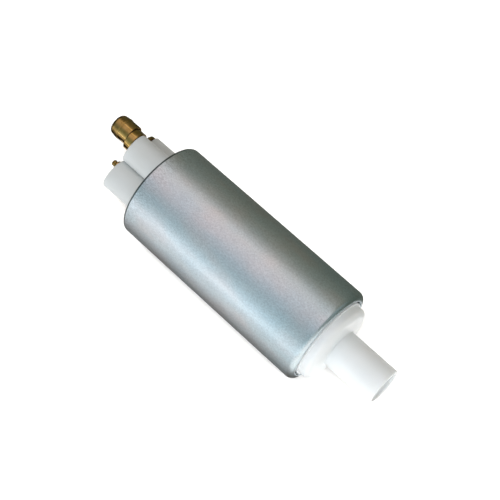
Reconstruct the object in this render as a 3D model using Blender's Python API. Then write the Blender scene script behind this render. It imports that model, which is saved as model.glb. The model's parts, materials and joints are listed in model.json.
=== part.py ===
# Electric fuel pump for a hose line, lying on its side
#
# The pump's axis is the X axis and the inlet is at +X. The origin is on the axis at the
# middle of the can, where the clamp band holds the pump. Lengths are in metres.
# The outlet cover's towers are laid out in "side" and "up" coordinates, which are turned
# about the pump's axis by the angle at which the pump lies.

import math

import bmesh
import bpy
from mathutils import Matrix

# Clearances
SEAT = 0.0003            # between two pieces that touch
RUNNING = 0.00015        # between the shaft and its bearings

# Can
CAN_DIAMETER = 0.038
CAN_LENGTH = 0.0814
CAN_WALL = 0.0013
LIP_THICKNESS = 0.0012
OUTLET_CORNER = 0.0010
INLET_CORNER = 0.0023
OUTLET_LIP_WIDTH = 0.0028  # from the can's side to its mouth
INLET_LIP_WIDTH = 0.0026

# Outlet cover, with its towers measured from the can's outlet end
ROLL = math.radians(18.0)
COVER_THICKNESS = 0.0075
COVER_PROUD = 0.0006
TOWER_HEIGHT = 0.0175
TOWER_HALF_WIDTH = 0.00585
TOWER_FRONT = 0.0036
TOWER_EDGE = 0.0007
OUTLET_TOWER_BACK = 0.0080
NEGATIVE_TOWER_BACK = 0.0065
POSITIVE_TOWER_BACK = 0.0044
SEAL_WIRE_RADIUS = 0.0008
SEAL_OFFSET = 0.0051     # from the can's outlet end to the middle of the sealing ring

# Places on the outlet cover, as side and up from the axis
OUTLET_TOWER = (0.00475, 0.00370)
NEGATIVE_TOWER = (-0.00670, 0.00210)
POSITIVE_TOWER = (0.00745, -0.00681)
RELIEF_TURN = math.radians(-113.8)  # round the axis from the side
RELIEF_INSET = 0.00475   # in from the neck's rim

# Places on the towers: side and up from the tower's middle
BUSH_OFFSET = (0.0020, -0.0017)
NOZZLE_OFFSET = (0.0009, 0.0)     # from the bush's middle
NEGATIVE_STUD_OFFSET = (0.0028, -0.0001)
NEGATIVE_BRUSH_OFFSET = (-0.0016, -0.0008)
POSITIVE_STUD_OFFSET = (0.00085, -0.0001)
POSITIVE_BRUSH_OFFSET = (-0.0012, 0.0)

# Outlet bush and nozzle
PASSAGE_RADIUS = 0.0018
BUSH_WALL = 0.0010
BUSH_BODY_LENGTH = 0.0055
BUSH_FLANGE_RADIUS = 0.0044
BUSH_FLANGE_HEIGHT = 0.0032
FLANGE_EDGE = 0.0003
NOZZLE_SHANK_WALL = 0.0009
NOZZLE_SHANK_LENGTH = 0.0020
NOZZLE_WALL = 0.0011
NOZZLE_BODY_LENGTH = 0.0039
BARB_STEP = 0.00015
BARB_LAND = 0.0007
BARB_LENGTH = 0.0026
BARB_TAPER = 0.00025
NOSE_LENGTH = 0.0015
NOSE_WALL = 0.0010

# Check valve in the nozzle
VALVE_SEAT_RADIUS = 0.0015
VALVE_CHAMBER_RADIUS = 0.0031
VALVE_LEDGE = 0.0011     # the ledge that the spring stands on
VALVE_FLOW_GAP = 0.0005  # round the poppet's head
VALVE_HEAD_THICKNESS = 0.0010
VALVE_STEM_RADIUS = 0.0008
VALVE_STEM_LENGTH = 0.0028
VALVE_SPRING_TURNS = 4
SPRING_WIRE_RADIUS = 0.00025

# Terminals
STUD_DEPTH = 0.0062
STUD_CHAMFER = 0.0003
NEGATIVE_STUD_RADIUS = 0.0012
NEGATIVE_STUD_HEIGHT = 0.0028
NEGATIVE_FLANGE_RADIUS = 0.0018
NEGATIVE_FLANGE_HEIGHT = 0.0007
POSITIVE_STUD_RADIUS = 0.0024
POSITIVE_STUD_HEIGHT = 0.0062
POSITIVE_FLANGE_GAP = 0.0003  # to the outlet bush's flange
POSITIVE_FLANGE_HEIGHT = 0.0013
POSITIVE_SHANK_RADIUS = 0.0019

# Brushes, in square wells behind the terminals
BRUSH_SIDE = 0.0040
BRUSH_LENGTH = 0.0090
BRUSH_REACH = 0.0032     # from the cover's inner face to the commutator
BRUSH_SPRING_INSET = 0.0005
BRUSH_SPRING_TURNS = 5
WELL_ROOF = 0.0020       # plastic between a well and the studs above it

# Pressure relief valve in the outlet cover
RELIEF_WELL_RADIUS = 0.0022
RELIEF_WELL_DEPTH = 0.0066
RELIEF_HOLE_RADIUS = 0.0009
RELIEF_SEAT_LENGTH = 0.0013
RELIEF_BALL_RADIUS = 0.0015
RELIEF_SPRING_RADIUS = 0.0012
RELIEF_SPRING_TURNS = 2.5

# Motor
SHAFT_RADIUS = 0.0020
SHAFT_CHAMFER = 0.00025
DRIVE_FLAT_DEPTH = 0.0004  # of the flat that turns the impeller
BEARING_WALL = 0.00135
BEARING_LENGTH = 0.0056
BEARING_BOSS_WALL = 0.0011
BEARING_BOSS_HEIGHT = 0.0020
COMMUTATOR_STEP = 0.0004  # in from the stack's radius
COMMUTATOR_THICKNESS = 0.0025
COMMUTATOR_HUB_WALL = 0.0032
COMMUTATOR_HUB_LENGTH = 0.0020
COMMUTATOR_SLOT_WIDTH = 0.0006
COMMUTATOR_SLOT_DEPTH = 0.0010
MAGNET_THICKNESS = 0.0042
MAGNET_ANGLE = math.radians(146.0)
MAGNET_OVERHANG = 0.0030  # past the core at each end
AIR_GAP = 0.0006
CLIP_THICKNESS = 0.0006
SLOT_FLOOR_WIDTH = 0.0012  # between the roots of two teeth
SLOT_COUNT = 8
SLOT_MOUTH = 0.0018
SLOT_LINER = 0.0003
TOOTH_TIP_DEPTH = 0.0011
TOOTH_SHARE = 0.34       # part of each tooth's pitch that is iron
END_TURN_LENGTH = 0.0042
END_TURN_STEP = 0.0009   # in from the stack's radius
END_TURN_CLEARANCE = 0.0020  # to the bearing at the pump's end

# Pump chamber
OUTLET_PLATE_THICKNESS = 0.0080
INLET_PLATE_THICKNESS = 0.0056
CHAMBER_WALL = 0.0018    # the inlet plate's ring round the impeller
CHANNEL_LAP = 0.0002     # the channel's width past each end of the vanes
CHANNEL_DEPTH = 0.0011
CHANNEL_ANGLE = math.radians(300.0)
PORT_RADIUS = 0.0013
PORT_INSET = 0.00195     # from the channel's end
IMPELLER_THICKNESS = 0.0036
VANE_DEPTH = 0.0024
VANE_COUNT = 30
VANE_SHARE = 0.42        # part of each vane's pitch that is metal
VANE_SWEEP = math.radians(4.0)
BALANCE_HOLE_COUNT = 5
BALANCE_HOLE_RADIUS = 0.0011
BALANCE_CIRCLE_RADIUS = 0.0070
BUTTON_RADIUS = 0.0023
BUTTON_THICKNESS = 0.0010

# Inlet cover
FLANGE_THICKNESS = 0.0015
CAP_GAP = 0.0007         # between the cap's step and the can's mouth
CAP_STEP_WIDTH = 0.0007
CAP_STEP_PROUD = 0.0003  # past the can's inlet end
CAP_WALL = 0.0016
CAP_SIDE = 0.0024        # height of the cap's straight side past the can's end
CAP_EDGE_DEPTH = 0.0019
CAP_EDGE_WIDTH = 0.0034
CAP_CONE = 0.0005        # rise from the rounded edge to the spigot's root
SPIGOT_RADIUS = 0.0072
SPIGOT_WALL = 0.0014
SPIGOT_END = 0.0250      # from the can's inlet end
SPIGOT_EDGE = 0.0005

# Facets round a full turn, and steps along a channel or a magnet
COARSE = 12
MEDIUM = 20
INNER = 32
FINE = 48
OVAL = 28
SEAL_SIDES = 6
CHANNEL_STEPS = 25
MAGNET_STEPS = 12

# Radii that several pieces share
CAN_RADIUS = CAN_DIAMETER / 2
CAN_BORE = CAN_RADIUS - CAN_WALL
INNER_RADIUS = CAN_BORE - SEAT
OUTLET_MOUTH_RADIUS = CAN_RADIUS - OUTLET_LIP_WIDTH
INLET_MOUTH_RADIUS = CAN_RADIUS - INLET_LIP_WIDTH
COVER_NECK_RADIUS = OUTLET_MOUTH_RADIUS - SEAT
SEAL_GROOVE_FLOOR = CAN_BORE - 2 * SEAL_WIRE_RADIUS - 2 * SEAT
SHAFT_HOLE = SHAFT_RADIUS + SEAT
BEARING_RADIUS = SHAFT_RADIUS + RUNNING + BEARING_WALL
BEARING_POCKET = BEARING_RADIUS + SEAT
BEARING_BOSS_RADIUS = BEARING_POCKET + BEARING_BOSS_WALL
CORE_RADIUS = INNER_RADIUS - MAGNET_THICKNESS - AIR_GAP
TOOTH_WIDTH = TOOTH_SHARE * 2 * math.pi * CORE_RADIUS / SLOT_COUNT
SLOT_FLOOR_RADIUS = (TOOTH_WIDTH + SLOT_FLOOR_WIDTH) * SLOT_COUNT / (2 * math.pi)
COMMUTATOR_RADIUS = CORE_RADIUS - COMMUTATOR_STEP
COMMUTATOR_HUB_RADIUS = SHAFT_HOLE + COMMUTATOR_HUB_WALL
IMPELLER_RADIUS = INNER_RADIUS - CHAMBER_WALL - SEAT
IMPELLER_ROOT_RADIUS = IMPELLER_RADIUS - VANE_DEPTH
CHANNEL_INNER_RADIUS = IMPELLER_ROOT_RADIUS - CHANNEL_LAP
CHANNEL_OUTER_RADIUS = IMPELLER_RADIUS + CHANNEL_LAP
BUSH_BODY_RADIUS = PASSAGE_RADIUS + BUSH_WALL
NOZZLE_SHANK_RADIUS = VALVE_SEAT_RADIUS + NOZZLE_SHANK_WALL
NOZZLE_BODY_RADIUS = VALVE_CHAMBER_RADIUS + NOZZLE_WALL
NOZZLE_BORE_RADIUS = VALVE_CHAMBER_RADIUS - VALVE_LEDGE
BARB_RADIUS = NOZZLE_BODY_RADIUS + BARB_STEP
BARB_END_RADIUS = BARB_RADIUS - BARB_TAPER
NOSE_FACE_RADIUS = NOZZLE_BORE_RADIUS + NOSE_WALL
VALVE_HEAD_RADIUS = VALVE_CHAMBER_RADIUS - VALVE_FLOW_GAP

# Places along the axis that several pieces share
OUTLET_END = -CAN_LENGTH / 2
INLET_END = CAN_LENGTH / 2
COVER_SHOULDER = OUTLET_END + LIP_THICKNESS + SEAT
COVER_FACE = COVER_SHOULDER + COVER_THICKNESS
TOWER_TOP = OUTLET_END - TOWER_HEIGHT
WELL_END = TOWER_TOP + STUD_DEPTH + SEAT + WELL_ROOF
COMMUTATOR_FACE = COVER_FACE + BRUSH_REACH + SEAT
COMMUTATOR_END = COMMUTATOR_FACE + COMMUTATOR_THICKNESS + COMMUTATOR_HUB_LENGTH
INLET_LIP = INLET_END - LIP_THICKNESS - SEAT
INLET_FLANGE = INLET_LIP - FLANGE_THICKNESS
INLET_PLATE_END = INLET_FLANGE - SEAT
INLET_PLATE_START = INLET_PLATE_END - INLET_PLATE_THICKNESS
IMPELLER_START = INLET_PLATE_START - SEAT - IMPELLER_THICKNESS
OUTLET_PLATE_END = IMPELLER_START - SEAT
OUTLET_PLATE_START = OUTLET_PLATE_END - OUTLET_PLATE_THICKNESS
INLET_BOSS_FACE = OUTLET_PLATE_START - BEARING_BOSS_HEIGHT
CORE_START = COMMUTATOR_END + END_TURN_LENGTH + 2 * SEAT
CORE_END = INLET_BOSS_FACE - END_TURN_CLEARANCE - END_TURN_LENGTH - SEAT
BUSH_TOP = TOWER_TOP - SEAT - BUSH_FLANGE_HEIGHT
NOZZLE_BASE = BUSH_TOP - SEAT
BARB_START = NOZZLE_BASE - NOZZLE_BODY_LENGTH
BARB_END = BARB_START - BARB_LENGTH
NOSE_FACE = BARB_END - NOSE_LENGTH


def beside(place, offset):
    return (place[0] + offset[0], place[1] + offset[1])


# Places across the axis, as side and up
RELIEF_REACH = COVER_NECK_RADIUS - RELIEF_INSET
RELIEF_CENTRE = (RELIEF_REACH * math.cos(RELIEF_TURN), RELIEF_REACH * math.sin(RELIEF_TURN))
BUSH_CENTRE = beside(OUTLET_TOWER, BUSH_OFFSET)
NOZZLE_CENTRE = beside(BUSH_CENTRE, NOZZLE_OFFSET)
NEGATIVE_STUD = beside(NEGATIVE_TOWER, NEGATIVE_STUD_OFFSET)
NEGATIVE_BRUSH = beside(NEGATIVE_TOWER, NEGATIVE_BRUSH_OFFSET)
POSITIVE_STUD = beside(POSITIVE_TOWER, POSITIVE_STUD_OFFSET)
POSITIVE_BRUSH = beside(POSITIVE_TOWER, POSITIVE_BRUSH_OFFSET)
POSITIVE_FLANGE_RADIUS = math.dist(BUSH_CENTRE, POSITIVE_STUD) - BUSH_FLANGE_RADIUS - POSITIVE_FLANGE_GAP


def clear_scene():
    for old in list(bpy.data.objects):
        bpy.data.objects.remove(old, do_unlink=True)


def make_material(name, colour, roughness, metallic):
    made = bpy.data.materials.new(name)
    made.use_nodes = True
    shader = made.node_tree.nodes["Principled BSDF"]
    shader.inputs["Base Color"].default_value = (*colour, 1.0)
    shader.inputs["Roughness"].default_value = roughness
    shader.inputs["Metallic"].default_value = metallic
    return made


def rolled(place):
    """The Y and Z of a place given as side and up."""
    side, up = place
    return (side * math.cos(ROLL) - up * math.sin(ROLL), side * math.sin(ROLL) + up * math.cos(ROLL))


def finish(name, shape, material, place=(0.0, 0.0, 0.0), turn=0.0):
    """Turns a bmesh, modelled about its own origin, into an object at its place."""
    bmesh.ops.remove_doubles(shape, verts=shape.verts, dist=1e-7)
    bmesh.ops.recalc_face_normals(shape, faces=shape.faces)
    mesh = bpy.data.meshes.new(name)
    shape.to_mesh(mesh)
    shape.free()
    mesh.shade_smooth()
    mesh.set_sharp_from_angle(angle=math.radians(35.0))
    made = bpy.data.objects.new(name, mesh)
    made.location = place
    made.rotation_euler = (turn, 0.0, 0.0)
    if material is not None:
        mesh.materials.append(material)
    bpy.context.scene.collection.objects.link(made)
    return made


def arc(x, radius, size, start, end, steps):
    """Points of a round in a profile; angles in degrees, 0 toward +X and 90 outward."""
    points = []
    for step in range(steps + 1):
        angle = math.radians(start + (end - start) * step / steps)
        points.append((x + size * math.cos(angle), radius + size * math.sin(angle)))
    return points


def quarter(x, radius, depth, width, steps):
    """Points of a quarter ellipse in a profile, from its far end along X to its outer side."""
    points = []
    for step in range(steps + 1):
        angle = math.pi / 2 * step / steps
        points.append((x + depth * math.cos(angle), radius + width * math.sin(angle)))
    return points


def revolve(profile, segments, centre=(0.0, 0.0), sweep=2 * math.pi, closed=True):
    """Spins a profile of (x, radius) points about an axis parallel to X."""
    shape = bmesh.new()
    rim = [shape.verts.new((x, centre[0], centre[1] + radius)) for x, radius in profile]
    pairs = list(zip(rim, rim[1:]))
    if closed:
        pairs.append((rim[-1], rim[0]))
    edges = [shape.edges.new(pair) for pair in pairs]
    full = abs(sweep - 2 * math.pi) < 1e-9
    geometry = rim + edges
    if not full:
        geometry.append(shape.faces.new(rim))
    bmesh.ops.spin(shape, geom=geometry, cent=(0.0, *centre), axis=(1.0, 0.0, 0.0), angle=sweep,
                   steps=segments, use_merge=full, use_duplicate=False)
    return shape


def solid_round(profile, segments, centre=(0.0, 0.0)):
    """A turned solid without a bore: the profile starts and ends on the axis."""
    return revolve(profile, segments, centre, closed=False)


def ring(start, end, inner, outer, segments, centre=(0.0, 0.0)):
    profile = [(start, inner), (start, outer), (end, outer), (end, inner)]
    return revolve(profile, segments, centre)


def disc(start, end, radius, segments, centre=(0.0, 0.0)):
    return solid_round([(start, 0.0), (start, radius), (end, radius), (end, 0.0)], segments, centre)


def torus(x, ring_radius, wire_radius, segments, wire_segments):
    profile = arc(x, ring_radius, wire_radius, 0.0, 360.0, wire_segments)[:-1]
    return revolve(profile, segments)


def sector(start, end, inner, outer, angle, steps):
    """Part of a ring, centred on the -Z side until it is turned."""
    profile = [(start, inner), (start, outer), (end, outer), (end, inner)]
    shape = revolve(profile, steps, sweep=angle)
    half = Matrix.Rotation(math.pi - angle / 2, 4, "X")
    bmesh.ops.transform(shape, matrix=half, verts=shape.verts)
    return shape


def extrude(outline, start, end):
    """A prism along X from an outline of (y, z) points."""
    shape = bmesh.new()
    face = shape.faces.new([shape.verts.new((start, y, z)) for y, z in outline])
    lifted = bmesh.ops.extrude_face_region(shape, geom=[face])
    moved = [item for item in lifted["geom"] if isinstance(item, bmesh.types.BMVert)]
    bmesh.ops.translate(shape, verts=moved, vec=(end - start, 0.0, 0.0))
    return shape


def box(start, end, width, centre):
    half = width / 2
    corners = [(-half, -half), (half, -half), (half, half), (-half, half)]
    return extrude([rolled((centre[0] + side, centre[1] + up)) for side, up in corners], start, end)


def join(shapes):
    """Puts several bmesh shapes into one."""
    whole = bmesh.new()
    for shape in shapes:
        part = bpy.data.meshes.new("part")
        shape.to_mesh(part)
        shape.free()
        whole.from_mesh(part)
        bpy.data.meshes.remove(part)
    return whole


def combine(target, shape, operation):
    """Adds or cuts a shape with a live Boolean modifier."""
    tool = finish("tool_" + target.name, shape, None)
    tool.hide_render = True
    tool.display_type = "WIRE"
    modifier = target.modifiers.new(operation.lower(), "BOOLEAN")
    modifier.operation = operation
    modifier.solver = "EXACT"
    modifier.object = tool


def local(shape, place):
    """Moves a shape modelled in world coordinates to the frame of an object at place."""
    bmesh.ops.translate(shape, verts=shape.verts, vec=[-value for value in place])
    return shape


def coil(name, start, end, centre, radius, turns, material):
    """A compression spring along X, with its axis at a (side, up) centre."""
    y, z = rolled(centre)
    per_turn = 8
    count = int(turns * per_turn)
    curve = bpy.data.curves.new(name, "CURVE")
    curve.dimensions = "3D"
    curve.bevel_depth = SPRING_WIRE_RADIUS
    curve.bevel_resolution = 0
    curve.use_fill_caps = True
    spline = curve.splines.new("POLY")
    spline.points.add(count)
    first = start + SPRING_WIRE_RADIUS
    last = end - SPRING_WIRE_RADIUS
    for index, point in enumerate(spline.points):
        share = index / count
        angle = 2 * math.pi * turns * share
        x = first + (last - first) * share
        point.co = (x, radius * math.cos(angle), radius * math.sin(angle), 1.0)
    curve.materials.append(material)
    made = bpy.data.objects.new(name, curve)
    made.location = (0.0, y, z)
    bpy.context.scene.collection.objects.link(made)
    return made


def oval(centre, half_width, front, back, steps):
    """A tower's outline: half an ellipse toward the front, a deeper one toward the back."""
    points = []
    for step in range(steps):
        angle = 2 * math.pi * step / steps
        depth = front if math.sin(angle) > 0.0 else back
        side = centre[0] + half_width * math.cos(angle)
        up = centre[1] + depth * math.sin(angle)
        points.append(rolled((side, up)))
    return points


def tower(centre, back, steps):
    """One oval tower with a rounded top edge, its foot sunk in the cover's proud face."""
    root = OUTLET_END - SEAT
    shape = extrude(oval(centre, TOWER_HALF_WIDTH, TOWER_FRONT, back, steps), root, TOWER_TOP)
    rim = [edge for edge in shape.edges if all(abs(v.co.x - TOWER_TOP) < 1e-7 for v in edge.verts)]
    bmesh.ops.bevel(shape, geom=rim, offset=TOWER_EDGE, offset_type="OFFSET", segments=2,
                    profile=0.5, affect="EDGES")
    return shape


def make_can(steel):
    inner_lip_outlet = OUTLET_END + LIP_THICKNESS
    inner_lip_inlet = INLET_END - LIP_THICKNESS
    profile = [(OUTLET_END, OUTLET_MOUTH_RADIUS)]
    profile += arc(OUTLET_END + OUTLET_CORNER, CAN_RADIUS - OUTLET_CORNER, OUTLET_CORNER, 180, 90, 3)
    profile += arc(INLET_END - INLET_CORNER, CAN_RADIUS - INLET_CORNER, INLET_CORNER, 90, 0, 4)
    profile += [(INLET_END, INLET_MOUTH_RADIUS), (inner_lip_inlet, INLET_MOUTH_RADIUS)]
    inner_round = INLET_CORNER - LIP_THICKNESS
    profile += arc(inner_lip_inlet - inner_round, CAN_BORE - inner_round, inner_round, 0, 90, 2)
    profile += [(inner_lip_outlet, CAN_BORE), (inner_lip_outlet, OUTLET_MOUTH_RADIUS)]
    return finish("can", revolve(profile, FINE), steel)


def make_outlet_cover(plastic):
    seal_middle = OUTLET_END + SEAL_OFFSET
    half_groove = SEAL_WIRE_RADIUS + SEAT
    boss_face = COVER_FACE + BEARING_BOSS_HEIGHT
    pocket_floor = boss_face - BEARING_LENGTH - SEAT
    profile = [
        (OUTLET_END - COVER_PROUD, 0.0),
        (OUTLET_END - COVER_PROUD, COVER_NECK_RADIUS),
        (COVER_SHOULDER, COVER_NECK_RADIUS),
        (COVER_SHOULDER, INNER_RADIUS),
        (seal_middle - half_groove, INNER_RADIUS),
        (seal_middle - half_groove, SEAL_GROOVE_FLOOR),
        (seal_middle + half_groove, SEAL_GROOVE_FLOOR),
        (seal_middle + half_groove, INNER_RADIUS),
        (COVER_FACE, INNER_RADIUS),
        (COVER_FACE, BEARING_BOSS_RADIUS),
        (boss_face, BEARING_BOSS_RADIUS),
        (boss_face, BEARING_POCKET),
        (pocket_floor, BEARING_POCKET),
        (pocket_floor, 0.0),
    ]
    cover = finish("outlet_cover", solid_round(profile, FINE), plastic)
    combine(cover, tower(OUTLET_TOWER, OUTLET_TOWER_BACK, OVAL), "UNION")
    combine(cover, tower(NEGATIVE_TOWER, NEGATIVE_TOWER_BACK, OVAL), "UNION")
    combine(cover, tower(POSITIVE_TOWER, POSITIVE_TOWER_BACK, OVAL), "UNION")
    through = COVER_FACE + SEAT
    above = TOWER_TOP - SEAT
    for brush in (NEGATIVE_BRUSH, POSITIVE_BRUSH):
        well = box(WELL_END, through, BRUSH_SIDE + 2 * SEAT, brush)
        combine(cover, well, "DIFFERENCE")
    bush = rolled(BUSH_CENTRE)
    seat_end = TOWER_TOP + BUSH_BODY_LENGTH + SEAT
    socket = disc(above, seat_end, BUSH_BODY_RADIUS + SEAT, MEDIUM, bush)
    combine(cover, socket, "DIFFERENCE")
    combine(cover, disc(seat_end - SEAT, through, PASSAGE_RADIUS, COARSE, bush), "DIFFERENCE")
    stud_end = TOWER_TOP + STUD_DEPTH + SEAT
    for stud, radius in ((NEGATIVE_STUD, NEGATIVE_STUD_RADIUS), (POSITIVE_STUD, POSITIVE_SHANK_RADIUS)):
        combine(cover, disc(above, stud_end, radius + SEAT, COARSE, rolled(stud)), "DIFFERENCE")
    relief = rolled(RELIEF_CENTRE)
    floor = COVER_FACE - RELIEF_WELL_DEPTH
    combine(cover, disc(floor, through, RELIEF_WELL_RADIUS, COARSE, relief), "DIFFERENCE")
    vent_start = OUTLET_END - COVER_PROUD - SEAT
    combine(cover, disc(vent_start, floor + SEAT, RELIEF_HOLE_RADIUS, COARSE, relief), "DIFFERENCE")
    return cover


def make_outlet_bush(brass):
    y, z = rolled(BUSH_CENTRE)
    flange_face = TOWER_TOP - SEAT
    body_end = TOWER_TOP + BUSH_BODY_LENGTH
    round_edge = arc(BUSH_TOP + FLANGE_EDGE, BUSH_FLANGE_RADIUS - FLANGE_EDGE, FLANGE_EDGE, 180, 90, 2)
    profile = [(BUSH_TOP, PASSAGE_RADIUS)] + round_edge + [
        (flange_face, BUSH_FLANGE_RADIUS),
        (flange_face, BUSH_BODY_RADIUS),
        (body_end, BUSH_BODY_RADIUS),
        (body_end, PASSAGE_RADIUS),
    ]
    bush = finish("outlet_bush", revolve(profile, MEDIUM, (y, z)), brass)
    socket_end = NOZZLE_BASE + NOZZLE_SHANK_LENGTH + SEAT
    socket_radius = NOZZLE_SHANK_RADIUS + SEAT
    socket = disc(BUSH_TOP - SEAT, socket_end, socket_radius, MEDIUM, rolled(NOZZLE_CENTRE))
    combine(bush, socket, "DIFFERENCE")
    return bush


def make_outlet_nozzle(brass):
    shank_end = NOZZLE_BASE + NOZZLE_SHANK_LENGTH
    chamber_end = NOZZLE_BASE - SEAT
    profile = [
        (shank_end, VALVE_SEAT_RADIUS),
        (chamber_end, VALVE_SEAT_RADIUS),
        (chamber_end, VALVE_CHAMBER_RADIUS),
        (BARB_END, VALVE_CHAMBER_RADIUS),
        (BARB_END, NOZZLE_BORE_RADIUS),
        (NOSE_FACE, NOZZLE_BORE_RADIUS),
    ]
    nose_width = BARB_END_RADIUS - NOSE_FACE_RADIUS
    profile += quarter(BARB_END, NOSE_FACE_RADIUS, -NOSE_LENGTH, nose_width, 4)
    profile += [
        (BARB_START - BARB_LAND, BARB_RADIUS),
        (BARB_START, BARB_RADIUS),
        (BARB_START, NOZZLE_BODY_RADIUS),
        (NOZZLE_BASE, NOZZLE_BODY_RADIUS),
        (NOZZLE_BASE, NOZZLE_SHANK_RADIUS),
        (shank_end, NOZZLE_SHANK_RADIUS),
    ]
    return finish("outlet_nozzle", revolve(profile, MEDIUM, rolled(NOZZLE_CENTRE)), brass)


def make_check_valve(plastic, spring_steel):
    """A poppet that plugs the seat's hole, and the spring that holds it there."""
    y, z = rolled(NOZZLE_CENTRE)
    seat = NOZZLE_BASE - 2 * SEAT
    head_back = seat - VALVE_HEAD_THICKNESS
    stem_end = head_back - VALVE_STEM_LENGTH
    plug_end = seat + VALVE_HEAD_THICKNESS
    plug_radius = VALVE_SEAT_RADIUS - SEAT
    profile = [
        (stem_end, 0.0),
        (stem_end, VALVE_STEM_RADIUS),
        (head_back, VALVE_STEM_RADIUS),
        (head_back, VALVE_HEAD_RADIUS),
        (seat, VALVE_HEAD_RADIUS),
        (seat, plug_radius),
        (plug_end, plug_radius),
        (plug_end, 0.0),
    ]
    place = (seat, y, z)
    poppet = local(solid_round(profile, COARSE, (y, z)), place)
    finish("valve_poppet", poppet, plastic, place)
    coil("valve_spring", BARB_END + SEAT, head_back - SEAT, NOZZLE_CENTRE, VALVE_HEAD_RADIUS - SEAT,
         VALVE_SPRING_TURNS, spring_steel)


def make_terminal(name, centre, shank, flange, flange_height, stud, height, segments, brass):
    """A turned terminal: shank in the tower, flange on it and stud above it."""
    y, z = rolled(centre)
    flange_face = TOWER_TOP - SEAT
    flange_top = flange_face - flange_height
    top = TOWER_TOP - height
    shank_end = TOWER_TOP + STUD_DEPTH
    profile = [
        (top, 0.0),
        (top, stud - STUD_CHAMFER),
        (top + STUD_CHAMFER, stud),
        (flange_top, stud),
        (flange_top, flange - FLANGE_EDGE),
        (flange_top + FLANGE_EDGE, flange),
        (flange_face, flange),
        (flange_face, shank),
        (shank_end, shank),
        (shank_end, 0.0),
    ]
    return finish(name, solid_round(profile, segments, (y, z)), brass)


def make_terminals(brass):
    make_terminal("terminal_negative", NEGATIVE_STUD, NEGATIVE_STUD_RADIUS, NEGATIVE_FLANGE_RADIUS,
                  NEGATIVE_FLANGE_HEIGHT, NEGATIVE_STUD_RADIUS, NEGATIVE_STUD_HEIGHT, COARSE, brass)
    make_terminal("terminal_positive", POSITIVE_STUD, POSITIVE_SHANK_RADIUS, POSITIVE_FLANGE_RADIUS,
                  POSITIVE_FLANGE_HEIGHT, POSITIVE_STUD_RADIUS, POSITIVE_STUD_HEIGHT, MEDIUM, brass)


def make_brushes(carbon, spring_steel):
    tip = COMMUTATOR_FACE - SEAT
    back = tip - BRUSH_LENGTH
    spring_radius = BRUSH_SIDE / 2 - BRUSH_SPRING_INSET
    for name, centre in (("negative", NEGATIVE_BRUSH), ("positive", POSITIVE_BRUSH)):
        y, z = rolled(centre)
        place = (tip, y, z)
        block = local(box(back, tip, BRUSH_SIDE, centre), place)
        finish("brush_" + name, block, carbon, place)
        coil("brush_spring_" + name, WELL_END + SEAT, back - SEAT, centre, spring_radius,
             BRUSH_SPRING_TURNS, spring_steel)


def make_relief_valve(brass, steel, spring_steel):
    y, z = rolled(RELIEF_CENTRE)
    seat_end = COVER_FACE - SEAT
    seat_start = seat_end - RELIEF_SEAT_LENGTH
    seat = ring(seat_start, seat_end, RELIEF_HOLE_RADIUS, RELIEF_WELL_RADIUS - SEAT, COARSE, (y, z))
    finish("relief_seat", seat, brass)
    sunk = math.sqrt(RELIEF_BALL_RADIUS ** 2 - RELIEF_HOLE_RADIUS ** 2)
    ball_x = seat_start - sunk - SEAT
    profile = arc(0.0, 0.0, RELIEF_BALL_RADIUS, 180, 0, 8)
    finish("relief_ball", solid_round(profile, COARSE), steel, (ball_x, y, z))
    spring_start = COVER_FACE - RELIEF_WELL_DEPTH + SEAT
    side = math.sqrt(RELIEF_BALL_RADIUS ** 2 - (RELIEF_SPRING_RADIUS - SPRING_WIRE_RADIUS) ** 2)
    coil("relief_spring", spring_start, ball_x - side - SEAT, RELIEF_CENTRE, RELIEF_SPRING_RADIUS,
         RELIEF_SPRING_TURNS, spring_steel)


def drive_flat(start, end, depth):
    """What lies past the flat on the shaft's drive end."""
    level = SHAFT_RADIUS - depth
    reach = SHAFT_RADIUS + SEAT
    return extrude([(-reach, level), (reach, level), (reach, reach), (-reach, reach)], start, end)


def make_shaft(steel):
    start = COVER_FACE + BEARING_BOSS_HEIGHT - BEARING_LENGTH + SEAT
    end = INLET_PLATE_START + INLET_PLATE_THICKNESS / 2 - BUTTON_THICKNESS
    profile = [
        (start, 0.0),
        (start, SHAFT_RADIUS - SHAFT_CHAMFER),
        (start + SHAFT_CHAMFER, SHAFT_RADIUS),
        (end - SHAFT_CHAMFER, SHAFT_RADIUS),
        (end, SHAFT_RADIUS - SHAFT_CHAMFER),
        (end, 0.0),
    ]
    shaft = finish("shaft", solid_round(profile, MEDIUM), steel)
    flat = drive_flat(IMPELLER_START - SEAT, end + SEAT, DRIVE_FLAT_DEPTH)
    combine(shaft, flat, "DIFFERENCE")
    button_start = end + SEAT
    button_end = button_start + BUTTON_THICKNESS
    finish("thrust_button", disc(button_start, button_end, BUTTON_RADIUS, COARSE), steel)
    return button_end


def core_outline():
    """The stack's outline: a tooth with a wide tip, then a slot with a narrow mouth."""
    outline = []
    pitch = 2 * math.pi / SLOT_COUNT
    neck_radius = CORE_RADIUS - TOOTH_TIP_DEPTH
    shoulder_radius = neck_radius - TOOTH_TIP_DEPTH / 2
    tip_half = pitch / 2 - SLOT_MOUTH / 2 / CORE_RADIUS
    neck_half = TOOTH_WIDTH / 2 / neck_radius
    root_half = TOOTH_WIDTH / 2 / SLOT_FLOOR_RADIUS
    tip_steps = 4
    for tooth in range(SLOT_COUNT):
        middle = tooth * pitch
        stations = [(SLOT_FLOOR_RADIUS, -root_half), (shoulder_radius, -neck_half)]
        stations.append((neck_radius, -tip_half))
        for step in range(tip_steps + 1):
            stations.append((CORE_RADIUS, -tip_half + 2 * tip_half * step / tip_steps))
        stations.append((neck_radius, tip_half))
        stations += [(shoulder_radius, neck_half), (SLOT_FLOOR_RADIUS, root_half)]
        for radius, turn in stations:
            outline.append((radius * math.cos(middle + turn), radius * math.sin(middle + turn)))
    return outline


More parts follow.
